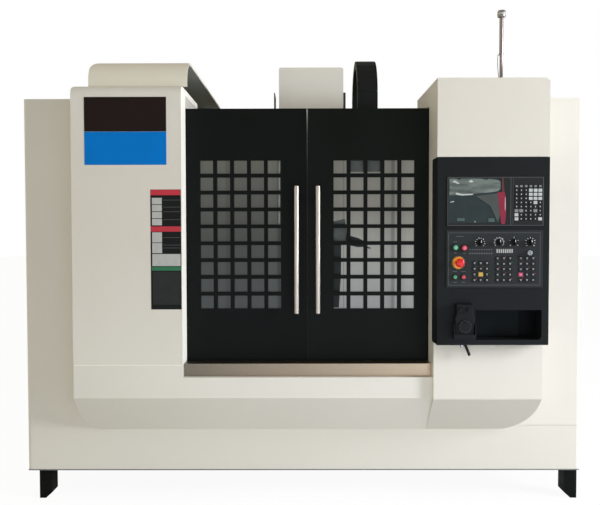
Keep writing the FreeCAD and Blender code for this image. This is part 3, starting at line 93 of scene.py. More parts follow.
def cloudy_colour(mat, cloud, low, high):
    """Let a noise swing the base colour between two colours."""
    nodes, links = mat.node_tree.nodes, mat.node_tree.links
    ramp = nodes.new("ShaderNodeValToRGB")
    for element, position, colour in zip(ramp.color_ramp.elements, CLOUD_SPAN, (low, high)):
        element.position = position
        element.color = colour
    links.new(cloud.outputs["Fac"], ramp.inputs["Fac"])
    links.new(ramp.outputs["Color"], nodes["Principled BSDF"].inputs["Base Color"])


def cloudy_roughness(mat, cloud, low, high):
    """Let a noise swing the roughness between two values."""
    nodes, links = mat.node_tree.nodes, mat.node_tree.links
    span = nodes.new("ShaderNodeMapRange")
    for socket, value in zip(("From Min", "From Max", "To Min", "To Max"), (*CLOUD_SPAN, low, high)):
        span.inputs[socket].default_value = value
    links.new(cloud.outputs["Fac"], span.inputs["Value"])
    links.new(span.outputs["Result"], nodes["Principled BSDF"].inputs["Roughness"])


def fine_bump(mat, strength, scale, stretch):
    nodes, links = mat.node_tree.nodes, mat.node_tree.links
    bump = nodes.new("ShaderNodeBump")
    bump.inputs["Strength"].default_value = strength
    bump.inputs["Distance"].default_value = GRAIN_HEIGHT
    links.new(noise(mat, scale, GRAIN_DETAIL, stretch).outputs["Fac"], bump.inputs["Height"])
    links.new(bump.outputs["Normal"], nodes["Principled BSDF"].inputs["Normal"])


def surface(name, colour, rough, patch, patch_scale, rough_patch=0.0, grain=0.0, grain_scale=500.0,
            metal=0.0, stretch=(1, 1, 1), second=None, specular=0.5, **sockets):
    """Material with cloudy colour and roughness changes and a fine bump; second is its darker colour."""
    mat = bpy.data.materials.new(name)
    mat.use_nodes = True
    inputs = mat.node_tree.nodes["Principled BSDF"].inputs
    linear = tone(*colour)
    inputs["Base Color"].default_value = linear
    inputs["Roughness"].default_value = rough
    inputs["Metallic"].default_value = metal
    inputs["Specular IOR Level"].default_value = specular
    for key, value in sockets.items():
        inputs[key.replace("_", " ")].default_value = value
    if patch or rough_patch:
        cloud = noise(mat, patch_scale, CLOUD_DETAIL, stretch)
        cloud.inputs["Roughness"].default_value = CLOUD_ROUGHNESS
    if patch:
        low = tone(*second) if second else scaled(linear, 1 - patch)
        cloudy_colour(mat, cloud, low, scaled(linear, 1 + patch))
    if rough_patch:
        cloudy_roughness(mat, cloud, max(0.02, rough - rough_patch), rough + rough_patch)
    if grain:
        fine_bump(mat, grain, grain_scale, stretch)
    return mat


M = {}
# textured surfaces: colour in display values, roughness, cloudiness and its scale, cloudiness of the
# roughness, grain and its scale, and what else surface() takes
TEXTURED = {
    "cream": ((221, 217, 206), 0.42, 0.018, 1.6, 0.05, 0.05, 420, {}),
    "black": ((16, 19, 18), 0.4, 0.12, 2.5, 0.06, 0.05, 600, dict(specular=0.07)),
    "box": ((27, 30, 31), 0.46, 0.08, 3, 0.05, 0.16, 900, dict(specular=0.1)),
    "stainless": ((150, 138, 122), 0.34, 0.1, 3, 0.08, 0.14, 300, dict(metal=1, stretch=(0.02, 1, 1))),
    "bright": ((206, 198, 190), 0.4, 0.04, 6, 0, 0, 500, dict(metal=1)),
    "ground": ((196, 197, 198), 0.25, 0.05, 2, 0.06, 0.05, 700, dict(metal=1)),
    "zinc": ((170, 172, 172), 0.4, 0.12, 14, 0.1, 0.06, 500, dict(metal=1)),
    "casting": ((205, 208, 204), 0.5, 0.04, 4, 0.06, 0.3, 220, {}),
    "iron": ((120, 121, 122), 0.38, 0.1, 6, 0.1, 0.1, 260, dict(metal=0.9, stretch=(0.05, 1, 1))),
    "motor": ((30, 31, 34), 0.4, 0.1, 2, 0, 0.1, 400, {}),
    "panel": ((42, 45, 46), 0.42, 0.05, 5, 0.05, 0.05, 1500, dict(specular=0.15)),
    "bezel": ((36, 39, 39), 0.4, 0.05, 2, 0, 0.08, 1400, dict(specular=0.15)),
    "screen": ((45, 55, 57), 0.2, 0.12, 9, 0.05, 0, 500, dict(specular=0.2, Coat_Weight=0.1)),
    "key": ((24, 26, 27), 0.5, 0.1, 30, 0, 0.1, 1500, dict(specular=0.2)),
    # pale key plastic, also used for painted glints and a painted reflection
    "key_light": ((182, 187, 185), 0.5, 0.05, 30, 0, 0.08, 1500, {}),
    "key_grey": ((122, 126, 126), 0.5, 0.08, 40, 0, 0.08, 1500, {}),
    "red": ((214, 34, 34), 0.28, 0.06, 20, 0.04, 0.03, 500, {}),
    "knob": ((13, 14, 15), 0.42, 0.12, 40, 0, 0.12, 1600, dict(specular=0.2)),
    "lock": ((176, 179, 181), 0.26, 0.05, 40, 0.05, 0.03, 500, dict(metal=1)),
    "unit": ((21, 24, 25), 0.5, 0.08, 12, 0, 0.2, 1300, dict(specular=0.15)),
    "lamp": ((150, 142, 138), 0.4, 0.08, 20, 0.08, 0.05, 500, dict(metal=0.9)),
    "rubber": ((28, 28, 29), 0.75, 0.1, 8, 0, 0.25, 900, {}),
    "chain": ((28, 30, 29), 0.5, 0.12, 10, 0.06, 0.12, 1100, dict(specular=0.08)),
    "alloy": ((200, 202, 204), 0.35, 0.05, 2, 0.08, 0.06, 400, dict(metal=1)),
    "tank": ((176, 178, 174), 0.42, 0.04, 2, 0.05, 0.06, 500, {}),
    # painted light: a white that glows a little, for the brightly lit inner side of the left pillar
    "glowing_side_white": ((254, 250, 237), 0.4, 0.01, 3, 0, 0.03, 500,
        dict(Emission_Color=(1, 0.97, 0.9, 1), Emission_Strength=0.12)),
    "sill": ((173, 160, 142), 0.34, 0.1, 3, 0.08, 0.14, 300, dict(metal=1, stretch=(0.02, 1, 1))),
    "film": ((116, 126, 120), 0.3, 0.25, 22, 0, 0.3, 60,
        dict(second=(58, 66, 64), stretch=(0.35, 1, 1.6), Alpha=0.9)),
}
for key, (*levels, more) in TEXTURED.items():
    M[key] = surface(key, *levels, **more)

# plain plastics, prints, films and colours of painted light and shade: colour, roughness, cloudiness and
# its scale, grain, specular level
PLAIN = {
    "yellow": ((196, 160, 62), 0.4, 0.05, 30, 0.05),
    "orange": ((238, 148, 30), 0.35, 0.08, 30, 0.05),
    "pink": ((178, 62, 104), 0.4, 0.05, 30, 0.05),
    "red_lamp": ((204, 58, 82), 0.3, 0.1, 60, 0.05),
    "green": ((66, 148, 104), 0.3, 0.1, 60, 0.05),
    "pot": ((36, 37, 39), 0.45, 0.1, 20, 0.1),
    "guard": ((34, 35, 36), 0.5, 0.1, 4, 0.1),
    "mark": ((176, 178, 176), 0.5, 0.04, 60, 0.02),
    "mark_grey": ((84, 87, 88), 0.5, 0.05, 60, 0.02),
    "field_black": ((30, 20, 18), 0.42, 0.08, 8, 0.04, 0.12),
    "field_dark": ((22, 24, 23), 0.45, 0.08, 8, 0.04, 0.12),
    "field_slate": ((42, 45, 43), 0.45, 0.1, 30, 0.04, 0.12),
    "field_pale": ((176, 176, 172), 0.45, 0.08, 40, 0.04),
    "field_green": ((24, 104, 66), 0.42, 0.05, 12, 0.04),
    "field_blue": ((0, 114, 196), 0.42, 0.04, 8, 0.04, 0.08),
    "field_red": ((186, 32, 52), 0.42, 0.05, 12, 0.04),
    "olive": ((222, 227, 221), 0.8, 0.1, 3, 0.2, 0.1),
    # painted highlight: near white for lit edges of the covers
    "highlight_white": ((254, 250, 237), 0.4, 0.01, 3, 0.03),
    # painted shadow: grey for the shade along the skirt's lower edge
    "skirt_shadow_grey": ((116, 118, 119), 0.5, 0.05, 6, 0.05),
    # painted shade inside the pocket, darker again at its right end
    "pocket": ((17, 24, 26), 0.5, 0.1, 8, 0.1, 0.1),
    "pocket_dark": ((7, 10, 12), 0.5, 0.1, 8, 0.1, 0.08),
    "tick": ((224, 226, 224), 0.5, 0.04, 60, 0.02),
    "rim": ((226, 206, 150), 0.4, 0.04, 40, 0.02),
    "shade": ((100, 105, 105), 0.4, 0.12, 12, 0.02, 0.1),
    "shade_dark": ((52, 56, 57), 0.4, 0.12, 12, 0.02, 0.1),
    "seam": ((150, 150, 146), 0.5, 0.05, 8, 0.03, 0.1),
    "mint": ((128, 184, 154), 0.35, 0.06, 60, 0.04),
    "rose": ((222, 110, 132), 0.35, 0.06, 60, 0.04),
    "fold": ((66, 72, 70), 0.3, 0.1, 20, 0.05),
    "tag": ((62, 84, 80), 0.4, 0.1, 40, 0.03),
    "stripe": ((130, 28, 54), 0.3, 0.1, 20, 0.03),
    "stripe_dark": ((84, 36, 42), 0.4, 0.1, 20, 0.03),
    "pink_pale": ((206, 170, 178), 0.3, 0.05, 60, 0),
}
for key, (colour, rough, patch, patch_scale, grain, *specular) in PLAIN.items():
    M[key] = surface(key, colour, rough, patch, patch_scale, grain=grain,
                     specular=specular[0] if specular else 0.5)


def fade(mat, axis, stops):
    """Multiply a material's colour by a ramp along the box of the piece that wears it.

    A stop is a position between 0 and 1 with a level, which is one number or three for red, green, blue.
    """
    nodes, links = mat.node_tree.nodes, mat.node_tree.links
    socket = nodes["Principled BSDF"].inputs["Base Color"]
    source = socket.links[0].from_socket
    where, split = nodes.new("ShaderNodeTexCoord"), nodes.new("ShaderNodeSeparateXYZ")
    ramp, product = nodes.new("ShaderNodeValToRGB"), nodes.new("ShaderNodeVectorMath")
    product.operation = "MULTIPLY"
    while len(ramp.color_ramp.elements) < len(stops):
        ramp.color_ramp.elements.new(0.5)
    for element, (position, level) in zip(ramp.color_ramp.elements, stops):
        element.position = position
        element.color = (*level, 1.0) if isinstance(level, tuple) else (level, level, level, 1.0)
    links.new(where.outputs["Generated"], split.inputs[0])
    links.new(split.outputs[axis], ramp.inputs["Fac"])
    links.new(source, product.inputs[0])
    links.new(ramp.outputs["Color"], product.inputs[1])
    links.new(product.outputs["Vector"], socket)
    return product.outputs["Vector"]


def faded(base, name, axis, stops):
    """Copy of a material that fades along an axis of its piece."""
    mat = M[base].copy()
    mat.name = name
    fade(mat, axis, stops)
    return mat


# painted reflection: the sill darker on the left and brighter towards the right
fade(M["sill"], "X", [(0.23, 0.46), (0.48, (0.75, 0.7, 0.66)), (0.77, (1.18, 1.09, 1.01))])
# painted highlight: bright at the top of the doors' meeting edges, fading away downwards
fade(M["seam"], "Z", [(0.0, 0.03), (0.75, 0.05), (0.9, 0.16), (0.95, 0.4), (1.0, 1.0)])
# covers whose colour is faded along an axis by painted light and shade, and the hood's warmer enamel
SHADE_AND_TONE_FADES = {
    # painted shade: the left pillar darker above mid height
    "left_cover": ("Z", [(0.0, 1.0), (0.45, (0.93, 0.91, 0.9)), (0.7, (0.93, 0.91, 0.9)), (1.0, 0.96)]),
    # painted shade: the right pillar darker on its chin and towards its top
    "right_cover": ("Z", [(0.0, 0.9), (0.112, 0.92), (0.122, 1.04), (0.6, 1.0), (0.8, (0.94, 0.93, 0.92))]),
    # painted light: the apron lighter towards the right
    "apron": ("X", [(0.0, 0.98), (0.16, 1.01), (0.4, (1.06, 1.07, 1.08))]),
    # painted shade: the right wall darker about mid height
    "right_wall": ("Z", [(0.0, 1.03), (0.45, 0.95), (0.7, 0.96), (1.0, 1.0)]),
    "hood_enamel": ("Z", [(0.0, (1.0, 0.98, 0.92)), (1.0, (1.0, 0.98, 0.91))]),
}
for key, (axis, stops) in SHADE_AND_TONE_FADES.items():
    M[key] = faded("cream", key, axis, stops)
# painted light: the right door's black made lighter than the left's, most towards its middle
M["right_black_painted_light"] = faded("black", "right_black_painted_light", "X", [(0.0, 1.4), (0.6, 1.8), (1.0, 1.6)])

SHEET_ALPHA, SHEET_GLOW, SHEET_BASE_SHARE = 0.92, 0.78, 0.3


def clear_sheet(name, height_shading, shades):
    """Milky clear sheet that glows as painted light, with painted shading by height and painted upright
    shades across its width.
    """
    mat = surface(name, (235, 235, 235), 0.3, 0.05, 5, stretch=(6, 1, 0.5), specular=0.2,
                  Alpha=SHEET_ALPHA, Emission_Strength=SHEET_GLOW)
    nodes, links = mat.node_tree.nodes, mat.node_tree.links
    fade(mat, "Z", height_shading)
    colour = fade(mat, "X", shades)
    links.new(colour, nodes["Principled BSDF"].inputs["Emission Color"])
    dull = nodes.new("ShaderNodeVectorMath")
    dull.operation = "SCALE"
    dull.inputs["Scale"].default_value = SHEET_BASE_SHARE
    links.new(colour, dull.inputs[0])
    links.new(dull.outputs["Vector"], nodes["Principled BSDF"].inputs["Base Color"])
    return mat


def share(node, axis, place):
    """Share of a node's box at a place, in millimetres along the axis."""
    low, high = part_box(node)
    return (place / 1000 - low[axis]) / (high[axis] - low[axis])


def height_shading(*stops):
    """Ramp of colours given as (position, red, green, blue)."""
    return [(position, tone(*levels)[:3]) for position, *levels in stops]


def upright(node, stops):
    """Ramp of levels at places x across a node's width."""
    return [(share(node, 0, x), level) for x, level in stops]


# painted light and shade on the panes: the left lighter at the top, the right lighter below the middle,
# both with dark upright bands
M["left_sheet"] = clear_sheet(
    "left_clear_sheet", height_shading((0.0, 76, 80, 80), (0.45, 81, 83, 81), (1.0, 108, 108, 102)),
    upright("left_window", [(-480, 0.96), (-372, 1.0), (-362, 0.78), (-346, 0.8), (-320, 0.93),
                            (-200, 0.93), (-160, 1.1), (-126, 1.05), (-116, 0.62), (-104, 0.6)]))
M["right_sheet"] = clear_sheet(
    "right_clear_sheet", height_shading((0.0, 156, 160, 160), (0.2, 165, 167, 165), (0.4, 168, 168, 164),
                               (0.65, 140, 139, 132), (1.0, 128, 127, 120)),
    upright("right_window", [(150, 0.9), (190, 0.95), (194, 0.6), (198, 1.0), (360, 1.0), (395, 0.95),
                             (416, 0.86), (424, 0.56), (434, 0.62), (440, 1.06), (470, 0.98), (500, 1.12)]))

NODE_MATERIALS = {
    "casting": "base_casting column_casting changer_gearbox saddle spindle_head",
    "zinc": "levelling_feet change_arm",
    "black": "corner_legs left_door",
    "right_black_painted_light": "right_door",
    "ground": "guide_rails spindle arm_shaft x_ball_screw y_ball_screw z_ball_screw",
    "motor": "axis_motors spindle_motor",
    "cream": "left_side_cover front_skirt rear_cover electrical_cabinet cabinet_door head_cover",
    "right_wall": "right_side_cover",
    "left_cover": "left_pillar_cover",
    "right_cover": "right_pillar_cover",
    "apron": "front_apron",
    "hood_enamel": "magazine_hood",
    "stainless": "chip_pan",
    "sill": "door_tracks",
    "tank": "coolant_tank",
    "box": "control_box",
    "bezel": "display_unit",
    "screen": "display_screen",
    "key": "panel_keys",
    "panel": "operator_panel",
    "red": "emergency_stop",
    "lock": "key_switch",
    "unit": "hand_unit pulse_dial",
    "lamp": "signal_lamp",
    "rubber": "y_bellows",
    "iron": "work_table",
    "guard": "side_guards",
    "chain": "cable_chain",
    "alloy": "magazine_disc",
    "pot": "tool_pots",
    "left_sheet": "left_window",
    "right_sheet": "right_window",
    "bright": "left_handle right_handle",
    "green": "start_button power_on_button",
    "red_lamp": "hold_button power_off_button",
    "knob": "mode_knob feed_knob rapid_knob speed_knob",
}
for key, names in NODE_MATERIALS.items():
    for name in names.split():
        for material_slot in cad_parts[name].material_slots:
            material_slot.material = M[key]


# ---- shape helpers
BOX_FACES = [(0, 2, 3, 1), (4, 5, 7, 6), (0, 1, 5, 4), (2, 6, 7, 3), (0, 4, 6, 2), (1, 3, 7, 5)]


def circle(radius, sides):
    """Places (u, w) round a circle."""
    angles = [2 * math.pi * n / sides for n in range(sides)]
    return [(radius * math.cos(a), radius * math.sin(a)) for a in angles]


def quarter(steps):
    """Angles from 0 to a right angle."""
    return [math.pi / 2 * k / steps for k in range(steps + 1)]


class Form:
    """Points and faces of one piece."""

    def __init__(self):
        self.points, self.faces = [], []

    def add(self, points, faces):
        first = len(self.points)
        self.points += [mm(*p) for p in points]
        self.faces += [[first + i for i in face] for face in faces]

    def box(self, x0, x1, d0, d1, z0, z1):
        self.add([(x, d, z) for z in (z0, z1) for d in (d0, d1) for x in (x0, x1)], BOX_FACES)
        return self

    def loft(self, loops):
        """Skin between loops of equally many points, closed at both ends."""
        count = len(loops[0])
        faces = []
        for k in range(len(loops) - 1):
            for i in range(count):
                j = (i + 1) % count
                faces.append((k * count + i, k * count + j, (k + 1) * count + j, (k + 1) * count + i))
        faces.append(tuple(range(count))[::-1])
        faces.append(tuple(range((len(loops) - 1) * count, len(loops) * count)))
        self.add([p for loop in loops for p in loop], faces)
        return self

    def slab(self, outline, d0, d1):
        """Flat plate between two depths, from its outline (x, z)."""
        return self.loft([[(x, d, z) for x, z in outline] for d in (d0, d1)])

    def turned(self, centre, axis, profile, sides=32):
        """Turned form: profile holds (radius, distance along the axis)."""
        x, d, z = centre
        loops = []
        for radius, along in profile:
            if axis == "d":
                loops.append([(x + u, d + along, z + w) for u, w in circle(radius, sides)])
            else:
                loops.append([(x + u, d + w, z + along) for u, w in circle(radius, sides)])
        return self.loft(loops)

    def tube(self, line, radius, sides=12):
        """Round tube along a line of places."""
        loops = []
        for n, spot in enumerate(line):
            ahead = Vector(line[min(n + 1, len(line) - 1)]) - Vector(line[max(n - 1, 0)])
            turn = ahead.to_track_quat("Z", "Y")
            loops.append([tuple(Vector(spot) + turn @ Vector((u, w, 0))) for u, w in circle(radius, sides)])
        return self.loft(loops)

    def object(self, name, material, smooth=40.0, bevel=0.0):
        mesh = bpy.data.meshes.new(name)
        mesh.from_pydata(self.points, [], self.faces)
        mesh.validate()
        made = bpy.data.objects.new(name, mesh)
        bpy.context.scene.collection.objects.link(made)
        mesh.materials.append(M[material])
        fix_normals(mesh)
        mesh.shade_smooth()
        mesh.set_sharp_from_angle(angle=math.radians(smooth))
        if bevel:
            soften(made, bevel)
        return made


def fix_normals(mesh):
    shape = bmesh.new()
    shape.from_mesh(mesh)
    bmesh.ops.recalc_face_normals(shape, faces=shape.faces)
    shape.to_mesh(mesh)
    shape.free()


def soften(made, width):
    bevel = made.modifiers.new("soft edges", "BEVEL")
    bevel.width = width / 1000
    bevel.segments = 2
    bevel.limit_method = "ANGLE"
    bevel.angle_limit = math.radians(30)
    bevel.harden_normals = True


def place(form, name, material, body=ROOT, slot=None, smooth=40.0, bevel=0.0):
    """Piece that rides on a body."""
    made = form.object(name, material, smooth, bevel)
    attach(made, body)
    return made


# ---- doors
OPENING_MID, MEETING_LINE = 20.0, 20.5
HANDLE_LOW, HANDLE_HIGH, HANDLE_RADIUS, HANDLE_ROUND = 944.0, 1543.0, 11.0, 5.0
HANDLE_REACH, HANDLE_DEPTH, HANDLE_FOOT = 50.0, 166.0, 50.0
STRIP_WIDTH, STRIP_LOW, STRIP_HIGH = 3.0, 712.0, 1902.0


def bar_handle(x):
    """Bar with rounded ends on two feet."""
    arc = [(HANDLE_RADIUS - HANDLE_ROUND * (1 - math.sin(t)), HANDLE_ROUND * (1 - math.cos(t)))
           for t in quarter(5)]
    profile = arc + [(r, HANDLE_HIGH - HANDLE_LOW - along) for r, along in reversed(arc)]
    bar = Form().turned((x, HANDLE_DEPTH, HANDLE_LOW), "z", profile, 40)
    for z in (HANDLE_LOW + HANDLE_FOOT, HANDLE_HIGH - HANDLE_FOOT):
        bar.turned((x, HANDLE_DEPTH, z), "d", [(8.0, 0), (8.0, 47), (10.4, 47), (10.4, 52)], 24)
    return bar


for side, sign, body in (("left", -1, "left_door_leaf"), ("right", 1, "right_door_leaf")):
    bar = bar_handle(OPENING_MID + sign * HANDLE_REACH)
    made = place(bar, side + "_bar_handle", "bright", body, "bright_steel")
    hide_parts(side + "_handle")
    # painted highlight along each door's meeting edge
    edge = MEETING_LINE + sign * 0.1
    x0, x1 = sorted((edge, edge + sign * STRIP_WIDTH))
    strip = Form().box(x0, x1, 216.6, 217.9, STRIP_LOW, STRIP_HIGH)
    place(strip, side + "_meeting_highlight", "seam", body, "black_paint")

SHEET_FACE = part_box("right_window")[0].y * 1000 - FRONT


def painted_sheet_film(name, material, body, shapes):
    """Thin film on the front of a door's sheet, for painted shade and a painted reflection; each shape is
    an outline of (x, z).
    """
    film = Form()
    for corners in shapes:
        film.slab(corners, SHEET_FACE - 0.6, SHEET_FACE - 0.1)
    place(film, name, material, body, "clear_sheet")


# painted shade: dark shapes for the shaded inside of the machine, with a hose, seen through the right sheet
painted_sheet_film("right_sheet_painted_shade", "shade", "right_door_leaf", [
    [(143, 1283), (206, 1283), (206, 1345), (199, 1390), (143, 1376)],
    [(222, 1612), (372, 1612), (372, 1668), (222, 1668)]])
painted_sheet_film("right_sheet_painted_dark_shade", "shade_dark", "right_door_leaf", [
    [(143, 966), (171, 966), (176, 1050), (181, 1120), (182, 1270), (190, 1283), (143, 1283)],
    [(206, 1275), (226, 1262), (262, 1254), (290, 1256), (318, 1246), (325, 1250), (292, 1262),
     (289, 1284), (262, 1298), (226, 1308), (206, 1322)]])
painted_sheet_film("left_sheet_reflection", "key_light", "left_door_leaf", [
    [(-116, 1362), (-110, 1362), (-109, 1668), (-114, 1668)]])

# ---- plain colour fields on the left pillar
PILLAR_FACE = 95.0
FIELD_X0, FIELD_X1 = -993.0, -620.0
SIDE_X0, SIDE_X1, SIDE_Z0, SIDE_Z1 = -695.0, -555.7, 974.0, 1522.0
PALE_X0, PALE_X1 = -688.0, -643.0
RULE_X0, RULE_X1, RULE_WIDTH = -637.0, -560.0, 1.6


def field(name, material, rects, face=93.8):
    """Thin raised plates on the left pillar's front, each given by (x0, x1, z0, z1)."""
    plates = Form()
    for x0, x1, z0, z1 in rects:
        plates.box(x0, x1, face, PILLAR_FACE, z0, z1)
    return place(plates, name, material, slot="cream_paint", bevel=0.2)


field("upper_field", "field_black", [(FIELD_X0, FIELD_X1, 1785, 1941)])
field("lower_field", "field_blue", [(FIELD_X0, FIELD_X1, 1634, 1784)])
field("side_field", "field_dark", [(SIDE_X0, SIDE_X1, SIDE_Z0, SIDE_Z1)], 94.4)
bars = [(SIDE_X0 + 1, SIDE_X1 - 1, z0, z1) for z0, z1 in ((1496, 1521), (1330, 1354))]
field("side_field_bars", "field_red", bars, 94.0)
field("side_field_green", "field_green", [(SIDE_X0 + 4, SIDE_X1 - 1, 1152, 1170)], 94.0)
field("side_field_slate", "field_slate", [(SIDE_X0 + 8, SIDE_X1 - 4, 996, 1148)], 94.0)
pale = [(PALE_X0, PALE_X1, z, z + 29) for z in (1359, 1391, 1423, 1455)]
pale += [(PALE_X0, PALE_X1, z, z + 46) for z in (1232, 1281)]
pale += [(PALE_X0, -559, 1173, 1228)]
field("side_field_pale", "field_pale", pale, 94.0)
rules = [(RULE_X0, RULE_X1, z, z + RULE_WIDTH) for z in (1473, 1441, 1420, 1384, 1302, 1268, 1255, 1008)]
field("side_field_rules", "mark_grey", rules, 94.1)

# ---- painted highlights, glow and shade on the covers, and the hood's lining
INNER_GLOW_X = (-552.9, -552.2)
BROW_D, BROW_Z, BROW_RADIUS = 140.0, 1951.0, 44.0
HOOD_D, HOOD_Z, HOOD_RADIUS, HOOD_BACK = 245.0, 2019.0, 105.0, 1464.0

# painted highlight: a white line along the seam across the left pillar's front
field("pillar_seam", "highlight_white", [(-1052, -556, 715.5, 718)], 94.5)
# painted shadow: a grey strip along the bottom of the skirt's front
place(Form().box(-1336, 1336, 268.9, 270.4, 170.4, 175.6), "skirt_edge_shadow", "skirt_shadow_grey", slot="cream_paint")


def side_plate(name, material, x0, x1, corners):
    """Flat upright plate whose outline (d, z) runs from front to rear."""
    plate = Form().loft([[(x, d, z) for d, z in corners] for x in (x0, x1)])
    return place(plate, name, material, slot="cream_paint")


brow = [(BROW_D - BROW_RADIUS * math.cos(t), BROW_Z + BROW_RADIUS * math.sin(t)) for t in quarter(8)]
# painted light: glowing plates on the left pillar's inner side and cap, for the light that falls on them
# from the right
side_plate("pillar_inner_side_glow", "glowing_side_white", *INNER_GLOW_X, [(96, 720)] + brow + [(212, 1995), (212, 720)])
side_plate("pillar_cap_side_glow", "glowing_side_white", *INNER_GLOW_X,
           [(212, 1969), (212, 1995), (592, 1995), (597, 1990), (597, 1969)])


def hood_line(inset):
    """Places (d, z) along the hood's roof, at an inset from its outer face."""
    reach = HOOD_RADIUS - inset
    line = [(HOOD_D - reach, 1998)]
    line += [(HOOD_D - reach * math.cos(t), HOOD_Z + reach * math.sin(t)) for t in quarter(10)]
    return line + [(HOOD_BACK, HOOD_Z + reach)]


def hood_strip(name, material, x0, x1, outer, inner):
    pairs = zip(hood_line(outer), hood_line(inner))
    strip = Form().loft([[(x0, *a), (x1, *a), (x1, *b), (x0, *b)] for a, b in pairs])
    place(strip, name, material, slot="cream_paint", smooth=30)


# painted highlight: a white strip along the hood's right end edge
hood_strip("hood_hem_highlight", "highlight_white", -535.0, -531.3, 1.0, 9.0)
hood_strip("hood_lining", "olive", -940.0, -535.3, 4.4, 5.4)
side_plate("hood_side_lining", "olive", -981.6, -980.6,
           [(150, 2000), (150, 2070), (1460, 2070), (1460, 2000)])
place(Form().box(-940, -536, 1463, 1465, 1990, 2112), "hood_rear_lining", "olive", slot="cream_paint")

# ---- display unit and operator panel
UNIT_FACE = -4.0
KEYPAD_X, KEYPAD_Z, KEYPAD_PITCH_X, KEYPAD_PITCH_Z = 941.0, 1528.0, 20.8, 18.0
LIGHT_KEYS = ((4, 4), (0, 7), (0, 8), (5, 8))
GREY_KEYS = ((0, 6), (1, 6), (4, 6))
GROUP_PITCH = 27.5
KEY_ROUND = 0.8


def raised(form, x0, x1, z0, z1, top, foot=0.0):
    """Add a box that stands on the display's face; foot and top are its heights above the face."""
    return form.box(x0, x1, UNIT_FACE - top, UNIT_FACE - foot, z0, z1)


def outline(name, x0, x1, z0, z1, width):
    """Thin raised line round a panel."""
    edge = Form()
    for z in (z1 - width, z0):
        raised(edge, x0, x1, z, z + width, 0.5, -0.2)
    for x in (x0, x1 - width):
        raised(edge, x, x + width, z0 + width, z1 - width, 0.5, -0.2)
    return place(edge, name, "mark_grey", slot="panel_grey")


outline("display_frame_line", 638, 1060, 1355, 1568, 1.6)
outline("panel_frame_line", 642.5, 1048.0, 1091.0, 1323.5, 1.4)

dark_caps, light_caps, grey_caps, legends = (Form() for _ in range(4))
for column in range(6):
    for row in range(9):
        x, z = KEYPAD_X + column * KEYPAD_PITCH_X, KEYPAD_Z - row * KEYPAD_PITCH_Z
        half_x, half_z = (8.2, 6.9) if row else (5.6, 4.6)
        if (column >= 3 and 1 <= row <= 3) or (column, row) in LIGHT_KEYS:
            cap = light_caps
        elif row == 0 or (column, row) in GREY_KEYS:
            cap = grey_caps
        else:
            cap = dark_caps
            raised(legends, x - 2.0, x + 2.2, z - 2.8, z + 3.0, 3.35, 3.0)
        raised(cap, x - half_x, x + half_x, z - half_z, z + half_z, 3.1)
for form, name, material, slot in ((dark_caps, "keypad_dark_keys", "key", "bezel_plastic"),
                                   (light_caps, "keypad_light_keys", "key_light", "key_plastic"),
                                   (grey_caps, "keypad_grey_keys", "key_grey", "key_plastic")):
    place(form, name, material, slot=slot, bevel=KEY_ROUND)

# three groups of keys, each given by its upper left key, its rows and their pitch
GROUPS = ((758.0, 1189.0, 4, 25.0), (860.0, 1210.0, 5, 24.0), (962.0, 1210.0, 5, 24.0))
YELLOW_KEY, PINK_KEY = (0, 1, 2), (2, 0, 3)
caps, yellow_cap, pink_cap, dots_red, dots_green = (Form() for _ in range(5))
for group, (x0, z0, rows, pitch) in enumerate(GROUPS):
    for column in range(3):
        for row in range(rows):
            x, z = x0 + column * GROUP_PITCH, z0 - row * pitch
            cap = {YELLOW_KEY: yellow_cap, PINK_KEY: pink_cap}.get((group, column, row), caps)
            raised(cap, x - 9.8, x + 9.8, z - 8.8, z + 8.8, 3.0)
            if cap is caps:
                raised(legends, x - 4.0, x + 3.6, z + 0.8, z + 3.0, 3.25, 2.9)
                raised(legends, x - 2.4, x + 3.0, z - 3.4, z - 1.4, 3.25, 2.9)
            if (column * 2 + row + group) % 3 == 0:
                dots = dots_green if (column + row + group) % 4 == 0 else dots_red
                raised(dots, x + 5.6, x + 8.2, z + 4.6, z + 7.0, 3.3, 2.9)
for form, name, material, slot in ((caps, "panel_dark_keys", "key", "bezel_plastic"),
                                   (yellow_cap, "panel_yellow_key", "yellow", "key_plastic"),
                                   (pink_cap, "panel_pink_key", "pink", "key_plastic")):
    place(form, name, material, slot=slot, bevel=KEY_ROUND)
window = raised(Form(), 957.4, 966.6, 1133.8, 1142.2, 3.3, 2.9)
place(window, "panel_key_window", "rose", slot="key_plastic")
place(dots_red, "panel_red_dots", "red_lamp", slot="red_plastic")
place(dots_green, "panel_green_dots", "green", slot="green_plastic")

# knobs: middle and number of scale ticks, over a turn of SCALE_TURN degrees
KNOBS = {"mode": (782.0, 1279.0, 10), "feed": (866.0, 1281.0, 16), "rapid": (932.0, 1281.0, 5),
         "speed": (1004.0, 1280.0, 9)}
SCALE_TURN, TICK_INNER, TICK_LONG, TICK_SHORT, TICK_HALF = 260.0, 17.8, 24.0, 21.5, 1.15


def tick_mark(form, centre, angle, inner, outer, half, top, foot):
    """Radial mark between two radii; top and foot are places d."""
    out = Vector((math.sin(angle), 0, math.cos(angle)))
    side = Vector((math.cos(angle), 0, -math.sin(angle)))
    form.loft([[tuple(centre + out * reach + side * s + Vector((0, d, 0)))
                for s, d in ((-half, foot), (half, foot), (half, top), (-half, top))]
               for reach in (inner, outer)])


